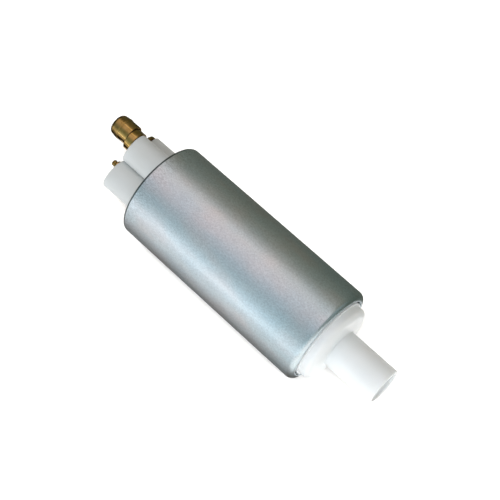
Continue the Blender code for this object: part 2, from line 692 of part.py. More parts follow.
def slot_bar(slot, start, end):
    """The copper that fills one slot, with room for the liner beside the teeth."""
    pitch = 2 * math.pi / SLOT_COUNT
    middle = (slot + 0.5) * pitch
    outer = CORE_RADIUS - 2 * TOOTH_TIP_DEPTH
    inner = SLOT_FLOOR_RADIUS + SLOT_LINER
    half_outer = pitch / 2 - (TOOTH_WIDTH / 2 + SLOT_LINER) / outer
    half_inner = pitch / 2 - (TOOTH_WIDTH / 2 + SLOT_LINER) / inner
    corners = [(inner, -half_inner), (outer, -half_outer), (outer, half_outer), (inner, half_inner)]
    outline = []
    for radius, turn in corners:
        outline.append((radius * math.cos(middle + turn), radius * math.sin(middle + turn)))
    return extrude(outline, start, end)


def end_turns(start, end):
    """The rounded copper ring past one end of the stack."""
    size = (end - start) / 2
    middle = (start + end) / 2
    inner = SLOT_FLOOR_RADIUS - SLOT_LINER
    profile = arc(middle, CORE_RADIUS - END_TURN_STEP - size, size, 180, 0, 4)
    profile += [(end, inner), (start, inner)]
    return revolve(profile, MEDIUM)


def make_armature(laminations, copper):
    core = finish("armature_core", extrude(core_outline(), CORE_START, CORE_END), laminations)
    bore = disc(CORE_START - SEAT, CORE_END + SEAT, SHAFT_HOLE, MEDIUM)
    combine(core, bore, "DIFFERENCE")
    first = (COMMUTATOR_END + SEAT, CORE_START - SEAT)
    second = (CORE_END + SEAT, CORE_END + SEAT + END_TURN_LENGTH)
    winding = finish("armature_winding", end_turns(*first), copper)
    combine(winding, end_turns(*second), "UNION")
    bar_start = sum(first) / 2
    bar_end = sum(second) / 2
    bars = [slot_bar(slot, bar_start, bar_end) for slot in range(SLOT_COUNT)]
    combine(winding, join(bars), "UNION")


def make_commutator(carbon):
    hub_start = COMMUTATOR_FACE + COMMUTATOR_THICKNESS
    profile = [
        (COMMUTATOR_FACE, SHAFT_HOLE),
        (COMMUTATOR_FACE, COMMUTATOR_RADIUS),
        (hub_start, COMMUTATOR_RADIUS),
        (hub_start, COMMUTATOR_HUB_RADIUS),
        (COMMUTATOR_END, COMMUTATOR_HUB_RADIUS),
        (COMMUTATOR_END, SHAFT_HOLE),
    ]
    commutator = finish("commutator", revolve(profile, MEDIUM), carbon)
    half = COMMUTATOR_SLOT_WIDTH / 2
    reach = COMMUTATOR_RADIUS + SEAT
    hub = SHAFT_HOLE + 2 * SEAT
    slots = []
    for index in range(SLOT_COUNT):
        slot = extrude([(hub, -half), (reach, -half), (reach, half), (hub, half)],
                       COMMUTATOR_FACE - SEAT, COMMUTATOR_FACE + COMMUTATOR_SLOT_DEPTH)
        turn = Matrix.Rotation(2 * math.pi * (index + 0.5) / SLOT_COUNT, 4, "X")
        bmesh.ops.transform(slot, matrix=turn, verts=slot.verts)
        slots.append(slot)
    combine(commutator, join(slots), "DIFFERENCE")


def make_magnets(ferrite, spring_steel):
    start = CORE_START - MAGNET_OVERHANG
    end = CORE_END + MAGNET_OVERHANG
    inner = CORE_RADIUS + AIR_GAP
    for name, turn in (("front", math.pi), ("back", 0.0)):
        magnet = sector(start, end, inner, INNER_RADIUS, MAGNET_ANGLE, MAGNET_STEPS)
        finish("magnet_" + name, magnet, ferrite, turn=turn)
    for name, turn in (("front", math.pi / 2), ("back", -math.pi / 2)):
        finish("magnet_clip_" + name, magnet_clip(start, end), spring_steel, turn=turn)


def magnet_clip(start, end):
    """A folded spring clip that presses the two magnets apart: a U along X."""
    inner = CORE_RADIUS + AIR_GAP
    gap_angle = math.pi - MAGNET_ANGLE
    half_angle = gap_angle / 2 - SEAT / inner
    outer = INNER_RADIUS - SEAT
    foot = CLIP_THICKNESS / inner
    steps = 4
    outside = []
    inside = []
    for step in range(steps + 1):
        share = 2 * step / steps - 1
        angle = half_angle * share
        narrow = (half_angle - foot) * share
        outside.append((outer * math.sin(angle), -outer * math.cos(angle)))
        back = outer - CLIP_THICKNESS
        inside.append((back * math.sin(narrow), -back * math.cos(narrow)))
    left_foot = [(inner * math.sin(-half_angle + foot), -inner * math.cos(-half_angle + foot))]
    left_foot.append((inner * math.sin(-half_angle), -inner * math.cos(-half_angle)))
    right_foot = [(inner * math.sin(half_angle), -inner * math.cos(half_angle))]
    right_foot.append((inner * math.sin(half_angle - foot), -inner * math.cos(half_angle - foot)))
    outline = outside + right_foot + inside[::-1] + left_foot
    return extrude(outline, start, end)


def make_bearings(bronze):
    bore = SHAFT_RADIUS + RUNNING
    outlet_end = COVER_FACE + BEARING_BOSS_HEIGHT
    outlet_start = outlet_end - BEARING_LENGTH
    finish("bearing_outlet", ring(outlet_start, outlet_end, bore, BEARING_RADIUS, MEDIUM), bronze)
    inlet_end = INLET_BOSS_FACE + BEARING_LENGTH
    finish("bearing_inlet", ring(INLET_BOSS_FACE, inlet_end, bore, BEARING_RADIUS, MEDIUM), bronze)


def channel(start, end):
    """The side channel beside the vanes, stopped by a land."""
    return sector(start, end, CHANNEL_INNER_RADIUS, CHANNEL_OUTER_RADIUS, CHANNEL_ANGLE, CHANNEL_STEPS)


def port(start, end, turn):
    """A port hole at one end of the side channel, as seen from the land at +Z."""
    radius = (CHANNEL_INNER_RADIUS + CHANNEL_OUTER_RADIUS) / 2
    angle = math.pi - turn * (CHANNEL_ANGLE / 2 - PORT_INSET / radius)
    centre = (radius * math.sin(angle), radius * math.cos(angle))
    return disc(start, end, PORT_RADIUS, COARSE, centre)


def make_pump_chamber(aluminium, button_end):
    pocket_end = INLET_BOSS_FACE + BEARING_LENGTH + SEAT
    profile = [
        (INLET_BOSS_FACE, BEARING_POCKET),
        (INLET_BOSS_FACE, BEARING_BOSS_RADIUS),
        (OUTLET_PLATE_START, BEARING_BOSS_RADIUS),
        (OUTLET_PLATE_START, INNER_RADIUS),
        (OUTLET_PLATE_END, INNER_RADIUS),
        (OUTLET_PLATE_END, SHAFT_HOLE),
        (pocket_end, SHAFT_HOLE),
        (pocket_end, BEARING_POCKET),
    ]
    plate = finish("pump_outlet_plate", revolve(profile, INNER), aluminium)
    combine(plate, port(OUTLET_PLATE_START - SEAT, OUTLET_PLATE_END + SEAT, 1.0), "DIFFERENCE")
    combine(plate, channel(OUTLET_PLATE_END - CHANNEL_DEPTH, OUTLET_PLATE_END + 2 * SEAT), "DIFFERENCE")

    rim_end = IMPELLER_START + IMPELLER_THICKNESS + SEAT
    groove_start = INLET_PLATE_START + INLET_PLATE_THICKNESS / 2 - SEAL_WIRE_RADIUS - SEAT
    groove_end = groove_start + 2 * (SEAL_WIRE_RADIUS + SEAT)
    rim_inner = IMPELLER_RADIUS + SEAT
    pocket_radius = BUTTON_RADIUS + SEAT
    profile = [
        (button_end + SEAT, 0.0),
        (button_end + SEAT, pocket_radius),
        (INLET_PLATE_START, pocket_radius),
        (rim_end, rim_inner),
        (IMPELLER_START, rim_inner),
        (IMPELLER_START, INNER_RADIUS),
        (groove_start, INNER_RADIUS),
        (groove_start, SEAL_GROOVE_FLOOR),
        (groove_end, SEAL_GROOVE_FLOOR),
        (groove_end, INNER_RADIUS),
        (INLET_PLATE_END, INNER_RADIUS),
        (INLET_PLATE_END, 0.0),
    ]
    plate = finish("pump_inlet_plate", solid_round(profile, INNER), aluminium)
    combine(plate, port(INLET_PLATE_START - SEAT, INLET_PLATE_END + SEAT, -1.0), "DIFFERENCE")
    combine(plate, channel(INLET_PLATE_START - 2 * SEAT, INLET_PLATE_START + CHANNEL_DEPTH), "DIFFERENCE")
    return (groove_start + groove_end) / 2


def drive_hole(start, end):
    """A round hole with one flat side, for the shaft's drive end."""
    level = SHAFT_RADIUS - DRIVE_FLAT_DEPTH + SEAT
    half = math.acos(level / SHAFT_HOLE)
    outline = []
    for step in range(MEDIUM + 1):
        angle = math.pi / 2 + half + 2 * (math.pi - half) * step / MEDIUM
        outline.append((SHAFT_HOLE * math.cos(angle), SHAFT_HOLE * math.sin(angle)))
    return extrude(outline, start, end)


def make_impeller(plastic):
    """A disc with swept vanes on its rim and balance holes round its hub."""
    outline = []
    pitch = 2 * math.pi / VANE_COUNT
    half = pitch * VANE_SHARE / 2
    for vane in range(VANE_COUNT):
        middle = vane * pitch
        stations = [
            (IMPELLER_ROOT_RADIUS, -half),
            (IMPELLER_RADIUS, -half + VANE_SWEEP),
            (IMPELLER_RADIUS, half + VANE_SWEEP),
            (IMPELLER_ROOT_RADIUS, half),
        ]
        for radius, turn in stations:
            outline.append((radius * math.cos(middle + turn), radius * math.sin(middle + turn)))
    start = IMPELLER_START
    end = IMPELLER_START + IMPELLER_THICKNESS
    impeller = finish("impeller", extrude(outline, start, end), plastic)
    holes = [drive_hole(start - SEAT, end + SEAT)]
    for index in range(BALANCE_HOLE_COUNT):
        angle = 2 * math.pi * index / BALANCE_HOLE_COUNT
        centre = (BALANCE_CIRCLE_RADIUS * math.cos(angle), BALANCE_CIRCLE_RADIUS * math.sin(angle))
        holes.append(disc(start - SEAT, end + SEAT, BALANCE_HOLE_RADIUS, COARSE, centre))
    combine(impeller, join(holes), "DIFFERENCE")


def make_inlet_cover(plastic):
    """Flange under the can's lip, rounded cap and straight hollow spigot."""
    side_end = INLET_END + CAP_SIDE
    root = side_end + CAP_EDGE_DEPTH + CAP_CONE
    end = INLET_END + SPIGOT_END
    step_radius = INLET_MOUTH_RADIUS - CAP_GAP
    cap_radius = step_radius - CAP_STEP_WIDTH
    cavity = cap_radius - CAP_WALL
    cavity_floor = root - 2 * CAP_WALL
    bore = SPIGOT_RADIUS - SPIGOT_WALL
    chamfer = INLET_CORNER - LIP_THICKNESS
    profile = [
        (INLET_FLANGE, cap_radius),
        (INLET_FLANGE, INNER_RADIUS),
        (INLET_LIP - chamfer, INNER_RADIUS),
        (INLET_LIP, INNER_RADIUS - chamfer),
        (INLET_LIP, step_radius),
        (INLET_END + CAP_STEP_PROUD, step_radius),
        (INLET_END + CAP_STEP_PROUD, cap_radius),
    ]
    profile += quarter(side_end, cap_radius - CAP_EDGE_WIDTH, CAP_EDGE_DEPTH, CAP_EDGE_WIDTH, 4)[::-1]
    profile += [(root, SPIGOT_RADIUS)]
    profile += arc(end - SPIGOT_EDGE, SPIGOT_RADIUS - SPIGOT_EDGE, SPIGOT_EDGE, 90, 0, 2)
    profile += [
        (end, bore),
        (cavity_floor + CAP_WALL, bore),
        (cavity_floor, cavity - CAP_WALL),
        (cavity_floor - CAP_WALL, cavity),
        (INLET_FLANGE + CAP_WALL, cavity),
    ]
    return finish("inlet_cover", revolve(profile, FINE), plastic)


def make_seals(rubber, inlet_seal_x):
    middle = CAN_BORE - SEAT - SEAL_WIRE_RADIUS
    outlet = torus(OUTLET_END + SEAL_OFFSET, middle, SEAL_WIRE_RADIUS, INNER, SEAL_SIDES)
    finish("cover_seal_outlet", outlet, rubber)
    inlet = torus(inlet_seal_x, middle, SEAL_WIRE_RADIUS, INNER, SEAL_SIDES)
    finish("cover_seal_inlet", inlet, rubber)


def main():
    clear_scene()
    zinc = make_material("zinc_plated_steel", (0.55, 0.57, 0.58), 0.38, 1.0)
    white_nylon = make_material("white_nylon", (0.66, 0.68, 0.67), 0.45, 0.0)
    white_acetal = make_material("white_acetal", (0.84, 0.84, 0.83), 0.38, 0.0)
    brass = make_material("turned_brass", (0.55, 0.38, 0.14), 0.28, 1.0)
    steel = make_material("ground_steel", (0.60, 0.60, 0.60), 0.25, 1.0)
    spring_steel = make_material("spring_steel", (0.40, 0.40, 0.42), 0.35, 1.0)
    carbon = make_material("brush_carbon", (0.03, 0.03, 0.03), 0.60, 0.0)
    laminations = make_material("lamination_steel", (0.25, 0.25, 0.27), 0.50, 1.0)
    copper = make_material("enamelled_copper", (0.48, 0.18, 0.07), 0.30, 1.0)
    ferrite = make_material("ferrite", (0.05, 0.05, 0.055), 0.65, 0.0)
    bronze = make_material("sintered_bronze", (0.42, 0.26, 0.12), 0.50, 1.0)
    aluminium = make_material("die_cast_aluminium", (0.60, 0.61, 0.62), 0.45, 1.0)
    black_plastic = make_material("black_phenolic", (0.04, 0.035, 0.03), 0.50, 0.0)
    rubber = make_material("nitrile_rubber", (0.02, 0.02, 0.02), 0.70, 0.0)

    make_can(zinc)
    make_outlet_cover(white_nylon)
    make_inlet_cover(white_acetal)
    make_outlet_bush(brass)
    make_outlet_nozzle(brass)
    make_check_valve(black_plastic, spring_steel)
    make_terminals(brass)
    make_brushes(carbon, spring_steel)
    make_relief_valve(brass, steel, spring_steel)
    button_end = make_shaft(steel)
    make_armature(laminations, copper)
    make_commutator(carbon)
    make_magnets(ferrite, spring_steel)
    make_bearings(bronze)
    inlet_seal_x = make_pump_chamber(aluminium, button_end)
    make_impeller(black_plastic)
    make_seals(rubber, inlet_seal_x)


main()
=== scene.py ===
import json
import math

import bmesh
import bpy
from mathutils import Matrix, Vector


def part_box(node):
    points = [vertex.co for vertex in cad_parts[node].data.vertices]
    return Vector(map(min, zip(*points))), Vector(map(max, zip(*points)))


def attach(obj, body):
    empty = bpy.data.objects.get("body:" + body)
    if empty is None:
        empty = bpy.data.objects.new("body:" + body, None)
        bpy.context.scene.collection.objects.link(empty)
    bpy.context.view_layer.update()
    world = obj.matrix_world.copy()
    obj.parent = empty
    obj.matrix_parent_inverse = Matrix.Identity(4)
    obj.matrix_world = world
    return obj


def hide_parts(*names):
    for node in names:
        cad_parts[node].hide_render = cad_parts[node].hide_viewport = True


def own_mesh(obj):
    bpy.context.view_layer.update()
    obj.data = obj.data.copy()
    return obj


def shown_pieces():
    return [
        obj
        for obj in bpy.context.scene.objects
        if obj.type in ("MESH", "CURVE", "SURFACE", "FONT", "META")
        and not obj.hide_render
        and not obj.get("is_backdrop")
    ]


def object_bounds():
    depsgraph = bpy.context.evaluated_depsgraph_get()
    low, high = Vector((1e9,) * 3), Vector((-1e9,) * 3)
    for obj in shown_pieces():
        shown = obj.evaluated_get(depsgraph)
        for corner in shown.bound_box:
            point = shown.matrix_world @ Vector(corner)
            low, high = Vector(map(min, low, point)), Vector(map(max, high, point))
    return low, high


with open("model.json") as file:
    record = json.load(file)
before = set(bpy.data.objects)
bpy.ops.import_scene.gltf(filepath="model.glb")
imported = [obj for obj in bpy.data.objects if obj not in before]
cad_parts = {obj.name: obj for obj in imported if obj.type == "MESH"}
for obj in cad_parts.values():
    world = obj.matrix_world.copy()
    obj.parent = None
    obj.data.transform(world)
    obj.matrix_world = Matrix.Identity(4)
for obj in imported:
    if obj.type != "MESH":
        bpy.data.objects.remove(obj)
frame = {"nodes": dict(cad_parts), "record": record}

mm = 0.001
scene = bpy.context.scene
cadLow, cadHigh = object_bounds()
print("frame loaded with", len(frame["nodes"]), "CAD nodes")


# Small helpers

usualNoise = (0.3, 0.7)       # where most values of a noise lie
fromNoise = {"From Min": usualNoise[0], "From Max": usualNoise[1]}
white = (1.0, 1.0, 1.0, 1.0)


def linear(hexColour):
    # sRGB hex to the linear values that Blender's sockets hold
    values = [int(hexColour[place:place + 2], 16) / 255 for place in (1, 3, 5)]
    return [v / 12.92 if v <= 0.04045 else ((v + 0.055) / 1.055) ** 2.4 for v in values] + [1.0]


def addObject(name, data):
    made = bpy.data.objects.new(name, data)
    scene.collection.objects.link(made)
    return made


def flatMesh(name, corners):
    mesh = bpy.data.meshes.new(name)
    mesh.from_pydata(corners, [], [(0, 1, 2, 3)])
    return mesh


def addNode(tree, kind, inputs=(), **settings):
    # one node with its settings; an input, by name or place, takes a value, a socket or a node
    made = tree.nodes.new(kind)
    for name, value in settings.items():
        setattr(made, name, value)
    for key, value in (inputs.items() if isinstance(inputs, dict) else enumerate(inputs)):
        if isinstance(value, bpy.types.Node):
            value = value.outputs[0]
        if isinstance(value, bpy.types.NodeSocket):
            tree.links.new(value, made.inputs[key])
        else:
            made.inputs[key].default_value = value
    return made


def fillRamp(ramp, places, colours):
    # colours, each at its place from 0 to 1
    bands = ramp.color_ramp.elements
    while len(bands) < len(colours):
        bands.new(1.0)
    for band, place, colour in zip(bands, places, colours):
        band.position = place
        band.color = linear(colour)


def cloud(tree, place, grain, detail=3.0, stretch=(1.0, 1.0, 1.0)):
    # noise whose grains are about that many metres across
    scale = [1 / (grain * share) for share in stretch]
    spread = addNode(tree, "ShaderNodeMapping", {"Vector": place, "Scale": scale})
    return addNode(tree, "ShaderNodeTexNoise",
                   {"Vector": spread, "Scale": 1.0, "Detail": detail, "Roughness": 0.55})


def seenDirectly(tree):
    # 1 for the camera, reflections and glass, 0 for the light that falls on things
    path = addNode(tree, "ShaderNodeLightPath").outputs
    seen = path["Is Camera Ray"]
    for kind in ("Is Glossy Ray", "Is Transmission Ray"):
        seen = addNode(tree, "ShaderNodeMath", (seen, path[kind]), operation="MAXIMUM")
    return seen


def startMaterial(name):
    made = bpy.data.materials.new(name)
    made.use_nodes = True
    made.node_tree.nodes.clear()
    return made, made.node_tree


def endMaterial(tree, shader):
    addNode(tree, "ShaderNodeOutputMaterial", {"Surface": shader})


# Camera, at the photograph's angle

cameraView = {
    "place": (0.1141, -0.1138, 0.3665),
    "right": (0.7178, 0.6964, 0.0),
    "down": (0.6345, -0.6539, -0.4121),
    "lens": 82.56,
    "sensor": 36.0,
    "clipStart": 0.01,
}


def makeCamera():
    right = Vector(cameraView["right"]).normalized()
    up = -Vector(cameraView["down"])
    up = (up - right * up.dot(right)).normalized()
    turned = Matrix((right, up, right.cross(up))).transposed().to_4x4()
    lens = bpy.data.cameras.new("camera")
    lens.lens = cameraView["lens"]
    lens.sensor_width = cameraView["sensor"]
    lens.clip_start = cameraView["clipStart"]
    made = addObject("camera", lens)
    made.matrix_world = Matrix.Translation(cameraView["place"]) @ turned
    scene.camera = made


# Floor, world, lamps and the reflector arch

studio = {
    "floorSize": 6.0,
    "floorColour": "#F4F4F4",
    "floorLift": 0.17,        # light added to what the camera and reflections see of the floor
    "liftTint": "#FFFDFA",
    "worldColour": "#FFFAF2",
    "worldStrength": 0.49,
    "archRadius": 0.42,
    "archLength": 1.3,
    "archTurns": (100, -91, -5),      # the curve's start, stop and step, in degrees from straight up
    "archLift": 0.2 * mm,     # above the floor
    "archFoot": 0.0245,       # where the arch's foot starts beside the can, on the far side
    "nearFoot": -0.012,       # and where it ends, on the near side
    "nearFootStart": -0.11,
    "archFootReach": 0.6,     # where the curve starts on the far side, as a share of the radius
    "nearFootPast": 12 * mm,  # past the can's inlet end
    "archPeak": 4.5,
    "outletFlag": -0.36,      # dark cards that only reflections see
    "outletFlagSides": (-0.39, 0.39),
    "outletFlagColour": "#262828",
    "outletCard": -0.074,     # where the card on the floor ends, near the can's outlet end
    "outletCardSides": (-0.05, 0.03),
    "outletCardColour": "#343634",
    "inletFlag": 0.34,
    "inletFlagSides": (-0.08, 0.39),
    "inletFlagColour": "#94A09E",
    "flagHeight": 0.27,
    "flagLift": 0.4 * mm,
}

lamps = {
    # lights the floor alone: a strip along the can, near the camera's direction
    "floorLamp": {"power": 8.8, "place": (0.20, -0.173, 0.75), "length": 1.2, "width": 0.216,
                  "colour": "#FFFFFF"},
    # lights the part alone: a strip along it, on the near side
    "keyLamp": {"power": 4.8, "place": (0.04, -0.62, 0.52), "length": 1.5, "width": 0.40,
                "colour": "#EEF6FF"},
}

# what the arch shows: degrees from straight up (minus is the near side), brightness, tint
archBands = [
    (-150, 0.04, "#FFEBD5"),
    (-126, 0.12, "#FFECDA"),
    (-116, 0.43, "#FFF6F3"),
    (-110, 0.58, "#FFFCFD"),
    (-106, 1.06, "#FDFFFB"),
    (-102, 1.04, "#FBFFFD"),
    (-98, 0.51, "#F9FCFF"),
    (-93, 0.48, "#F3FAFF"),
    (-90, 2.93, "#F4FAFF"),
    (-86, 3.05, "#F3FAFF"),
    (-82, 1.15, "#EFF9FF"),
    (-71, 1.18, "#E3F8FF"),
    (-58, 0.68, "#E0F8FF"),
    (-42, 0.53, "#DDFAFF"),
    (-26, 0.63, "#E9F4FF"),
    (-12, 0.87, "#FFF7FC"),
    (4, 0.96, "#FFF4F7"),
    (15, 0.78, "#FFF4F4"),
    (20, 1.52, "#FFF7F4"),
    (24, 1.55, "#FFF5F2"),
    (29, 0.56, "#FFF8EE"),
    (40, 0.36, "#FFFBE8"),
    (56, 0.22, "#F7FFE4"),
    (110, 0.13, "#F1FFE7"),
]


def makeFloor(height):
    half = studio["floorSize"] / 2
    corners = [(-half, -half, height), (half, -half, height), (half, half, height), (-half, half, height)]
    floor = addObject("floor", flatMesh("floor", corners))
    made, tree = startMaterial("matt white paper sweep")
    paper = addNode(tree, "ShaderNodeBsdfDiffuse", {"Color": linear(studio["floorColour"])})
    amount = addNode(tree, "ShaderNodeMath", (seenDirectly(tree), studio["floorLift"]), operation="MULTIPLY")
    lift = addNode(tree, "ShaderNodeEmission", {"Color": linear(studio["liftTint"]), "Strength": amount})
    endMaterial(tree, addNode(tree, "ShaderNodeAddShader", (paper, lift)))
    floor.data.materials.append(made)
    floor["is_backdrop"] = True
    return floor


def makeWorld():
    world = bpy.data.worlds.new("studio")
    scene.world = world
    world.use_nodes = True
    tree = world.node_tree
    tree.nodes.clear()
    seen = seenDirectly(tree)
    strength = addNode(tree, "ShaderNodeMapRange", {"Value": seen, "To Min": studio["worldStrength"]})
    # a mix takes two colours in its inputs 6 and 7, or two values in 2 and 3
    colour = addNode(tree, "ShaderNodeMix", {"Factor": seen, 6: linear(studio["worldColour"]), 7: white},
                     data_type="RGBA").outputs[2]
    sky = addNode(tree, "ShaderNodeBackground", {"Color": colour, "Strength": strength})
    addNode(tree, "ShaderNodeOutputWorld", {"Surface": sky})


def makeLamp(name, lit):
    # an area lamp above the part's axis that lights only the objects given
    values = lamps[name]
    lamp = bpy.data.lights.new(name, "AREA")
    lamp.shape = "RECTANGLE"
    lamp.size = values["length"]
    lamp.size_y = values["width"]
    lamp.energy = values["power"]
    lamp.color = linear(values["colour"])[:3]
    made = addObject(name, lamp)
    place = Vector(values["place"])
    made.location = place
    made.rotation_euler = (place - Vector((place.x, 0.0, 0.0))).to_track_quat("Z", "Y").to_euler()
    made.visible_glossy = False       # reflections show the arch in place of the lamps
    group = bpy.data.collections.new("lit by " + name)
    for item in lit:
        group.objects.link(item)
    made.light_linking.receiver_collection = group


def seenInReflections(panel):
    panel.visible_camera = False
    panel.visible_diffuse = False
    panel.visible_transmission = False
    panel.visible_shadow = False
    panel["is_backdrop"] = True


def archSection(foot):
    # across the can, from the far side's foot over the top to the near side's foot
    radius = studio["archRadius"]
    section = [(studio["archFoot"], foot), (studio["archFootReach"] * radius, foot)]
    for turn in range(*studio["archTurns"]):
        angle = math.radians(turn)
        section.append((radius * math.sin(angle), max(radius * math.cos(angle), foot)))
    return section + [(studio["nearFootStart"], foot), (studio["nearFoot"], foot)]


def reflectorCloth():
    # brightness and tint by the angle from straight up
    made, tree = startMaterial("graded reflector cloth")
    place = addNode(tree, "ShaderNodeTexCoord").outputs["Object"]
    parts = addNode(tree, "ShaderNodeSeparateXYZ", {"Vector": place}).outputs
    angle = addNode(tree, "ShaderNodeMath", (parts["Y"], parts["Z"]), operation="ARCTAN2")
    turns, levels, tints = zip(*archBands)
    low, high = turns[0], turns[-1]
    share = addNode(tree, "ShaderNodeMapRange",
                    {"Value": angle, "From Min": math.radians(low), "From Max": math.radians(high)})
    ramp = addNode(tree, "ShaderNodeValToRGB", {"Fac": share})
    fillRamp(ramp, [(turn - low) / (high - low) for turn in turns], tints)
    for band, level in zip(ramp.color_ramp.elements, levels):
        band.color = [value * level / studio["archPeak"] for value in band.color[:3]] + [1.0]
    ramp.color_ramp.interpolation = "EASE"
    endMaterial(tree, addNode(tree, "ShaderNodeEmission", {"Color": ramp, "Strength": studio["archPeak"]}))
    return made


def makeArch(height):
    # a curved panel for reflections only: bright above and on the near side, dark at both feet
    half = studio["archLength"] / 2
    section = archSection(height + studio["archLift"])
    count = len(section)
    stations = (-half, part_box("can")[1].x + studio["nearFootPast"], half)
    points = [(x, y, z) for x in stations for y, z in section]
    # the near foot's last strip ends at the middle station, short of the inlet cover
    faces = [(at, at + 1, count + at + 1, count + at) for at in range(2 * count - 2) if at != count - 1]
    mesh = bpy.data.meshes.new("reflector arch")
    mesh.from_pydata(points, [], faces)
    mesh.shade_smooth()
    mesh.materials.append(reflectorCloth())
    seenInReflections(addObject("reflectorArch", mesh))


def makeCard(name, corners, colour):
    # a flat dark card, seen in reflections only
    card = addObject(name, flatMesh(name, corners))
    cloth, tree = startMaterial("dark cloth of " + name)
    endMaterial(tree, addNode(tree, "ShaderNodeEmission", {"Color": linear(colour)}))
    card.data.materials.append(cloth)
    seenInReflections(card)


def makeFlags(height):
    # past both ends: they draw the edge lines of the can's rims
    foot = height + studio["flagLift"]
    top = height + studio["flagHeight"]
    for name in ("outletFlag", "inletFlag"):
        x = studio[name]
        near, far = studio[name + "Sides"]
        corners = [(x, near, foot), (x, far, foot), (x, far, top), (x, near, top)]
        makeCard(name, corners, studio[name + "Colour"])
    near, far = studio["outletCardSides"]
    start, end = studio["outletFlag"], studio["outletCard"]
    makeCard("outletCard", [(start, near, foot), (end, near, foot), (end, far, foot), (start, far, foot)],
             studio["outletCardColour"])


# Materials, one function for each kind of finish

def finishWith(made, colour, roughness, height, relief, depth, extra):
    # the relief and the shader that every finish ends with
    tree = made.node_tree
    bump = addNode(tree, "ShaderNodeBump", {"Height": height, "Strength": relief, "Distance": depth})
    inputs = {"Base Color": colour, "Roughness": roughness, "Normal": bump}
    endMaterial(tree, addNode(tree, "ShaderNodeBsdfPrincipled", {**inputs, **extra}))
    return made


zincFinish = {
    "cloudSize": 9 * mm,
    "cloudStretch": (2.2, 1.0, 1.0),
    "cloudTones": (0.32, 0.50, 0.68),
    "cloudColours": ("#CCD7DD", "#D1D8DC", "#D6D6D8"),
    "filmAlong": (12 * mm, 36 * mm),     # where the painted shade toward the inlet end starts, and where it is full
    "filmColour": "#F0F7F8",
    "grainSize": 0.38 * mm,              # the crystal grain, drawn larger than life
    "grainStretch": (1.6, 1.0, 1.0),
    "grainLevels": (0.79, 1.12),
    "scoreSize": 0.34 * mm,
    "scoreStretch": (2.4, 1.0, 1.0),
    "scoreLevels": (0.70, 1.17),
    "scoresAlong": (-24 * mm, -38 * mm),
    "outletRim": 1.0 * mm,
    # painted shade: the tint that darkens the outlet rim, for the towers' shadow on it
    "outletRimColour": "#A8AEAC",
    "inletRim": (2.6 * mm, 1.0 * mm),    # back from the can's end
    "streakSize": 0.5 * mm,
    "streakStretch": (30.0, 1.0, 1.0),
    "roughness": (0.38, 0.46),
    "rimRoughness": -0.10,               # added on both rims, which the rollers burnished
    "relief": 0.22,
    "rimRelief": -0.20,
    "reliefDepth": 0.03 * mm,
}


def zincPlatedSteel():
    # drawn steel tube, zinc plated and passivated: a satin grey sheen with faint pink and blue clouds,
    # a cooler, darker tint toward the inlet end that is painted shade, scores near the outlet's rim, that rim
    # darkened by painted shade, and both rims burnished by the rollers
    values = zincFinish
    made, tree = startMaterial("drawn zinc-plated steel")
    place = addNode(tree, "ShaderNodeTexCoord").outputs["Object"]
    along = addNode(tree, "ShaderNodeSeparateXYZ", {"Vector": place}).outputs["X"]
    clouds = cloud(tree, place, values["cloudSize"], 2.0, values["cloudStretch"])
    tint = addNode(tree, "ShaderNodeValToRGB", {"Fac": clouds})
    fillRamp(tint, values["cloudTones"], values["cloudColours"])
    # painted shade: the inlet end is tinted cooler and a little darker, standing in for the dimmer reflection
    # there
    start, full = values["filmAlong"]
    inletShaded = addNode(tree, "ShaderNodeMapRange", {"Value": along, "From Min": start, "From Max": full})
    inletShade = addNode(tree, "ShaderNodeMix", {"Factor": inletShaded, 6: white, 7: linear(values["filmColour"])},
                   data_type="RGBA").outputs[2]
    grain = cloud(tree, place, values["grainSize"], 4.0, values["grainStretch"])
    low, high = values["grainLevels"]
    grainLevel = addNode(tree, "ShaderNodeMapRange",
                         {"Value": grain, **fromNoise, "To Min": low, "To Max": high})
    scores = cloud(tree, place, values["scoreSize"], 3.0, values["scoreStretch"])
    low, high = values["scoreLevels"]
    scoreLevel = addNode(tree, "ShaderNodeMapRange",
                         {"Value": scores, **fromNoise, "To Min": low, "To Max": high})
    start, full = values["scoresAlong"]
    scored = addNode(tree, "ShaderNodeMapRange", {"Value": along, "From Min": start, "From Max": full})
    level = addNode(tree, "ShaderNodeMix", {"Factor": scored, 2: grainLevel, 3: scoreLevel})
    speck = addNode(tree, "ShaderNodeCombineColor", {"Red": level, "Green": level, "Blue": level})
    outletEnd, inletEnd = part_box("can")[0].x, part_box("can")[1].x
    outletRim = addNode(tree, "ShaderNodeMath", (along, outletEnd + values["outletRim"]),
                        operation="LESS_THAN")
    start, full = values["inletRim"]
    inletRim = addNode(tree, "ShaderNodeMapRange",
                       {"Value": along, "From Min": inletEnd - start, "From Max": inletEnd - full})
    # painted shade: the outlet rim is darkened by this tint, standing in for the shadow that the cover's
    # towers cast on it
    rimShadeTint = linear(values["outletRimColour"])
    rimShade = addNode(tree, "ShaderNodeMix", {"Factor": outletRim, 6: white, 7: rimShadeTint},
                   data_type="RGBA").outputs[2]
    colour = tint.outputs[0]
    for layer in (inletShade, speck.outputs[0], rimShade):
        colour = addNode(tree, "ShaderNodeMix", {"Factor": 1.0, 6: colour, 7: layer}, data_type="RGBA",
                         blend_type="MULTIPLY").outputs[2]
    streak = cloud(tree, place, values["streakSize"], 2.0, values["streakStretch"])
    low, high = values["roughness"]
    rough = addNode(tree, "ShaderNodeMapRange", {"Value": streak, **fromNoise, "To Min": low, "To Max": high})
    rim = addNode(tree, "ShaderNodeMath", (outletRim, inletRim), operation="MAXIMUM")
    rough = addNode(tree, "ShaderNodeMath", (rim, values["rimRoughness"], rough), operation="MULTIPLY_ADD")
    relief = addNode(tree, "ShaderNodeMath", (rim, values["rimRelief"], values["relief"]),
                     operation="MULTIPLY_ADD")
    return finishWith(made, colour, rough, grain, relief, values["reliefDepth"], {"Metallic": 1.0})


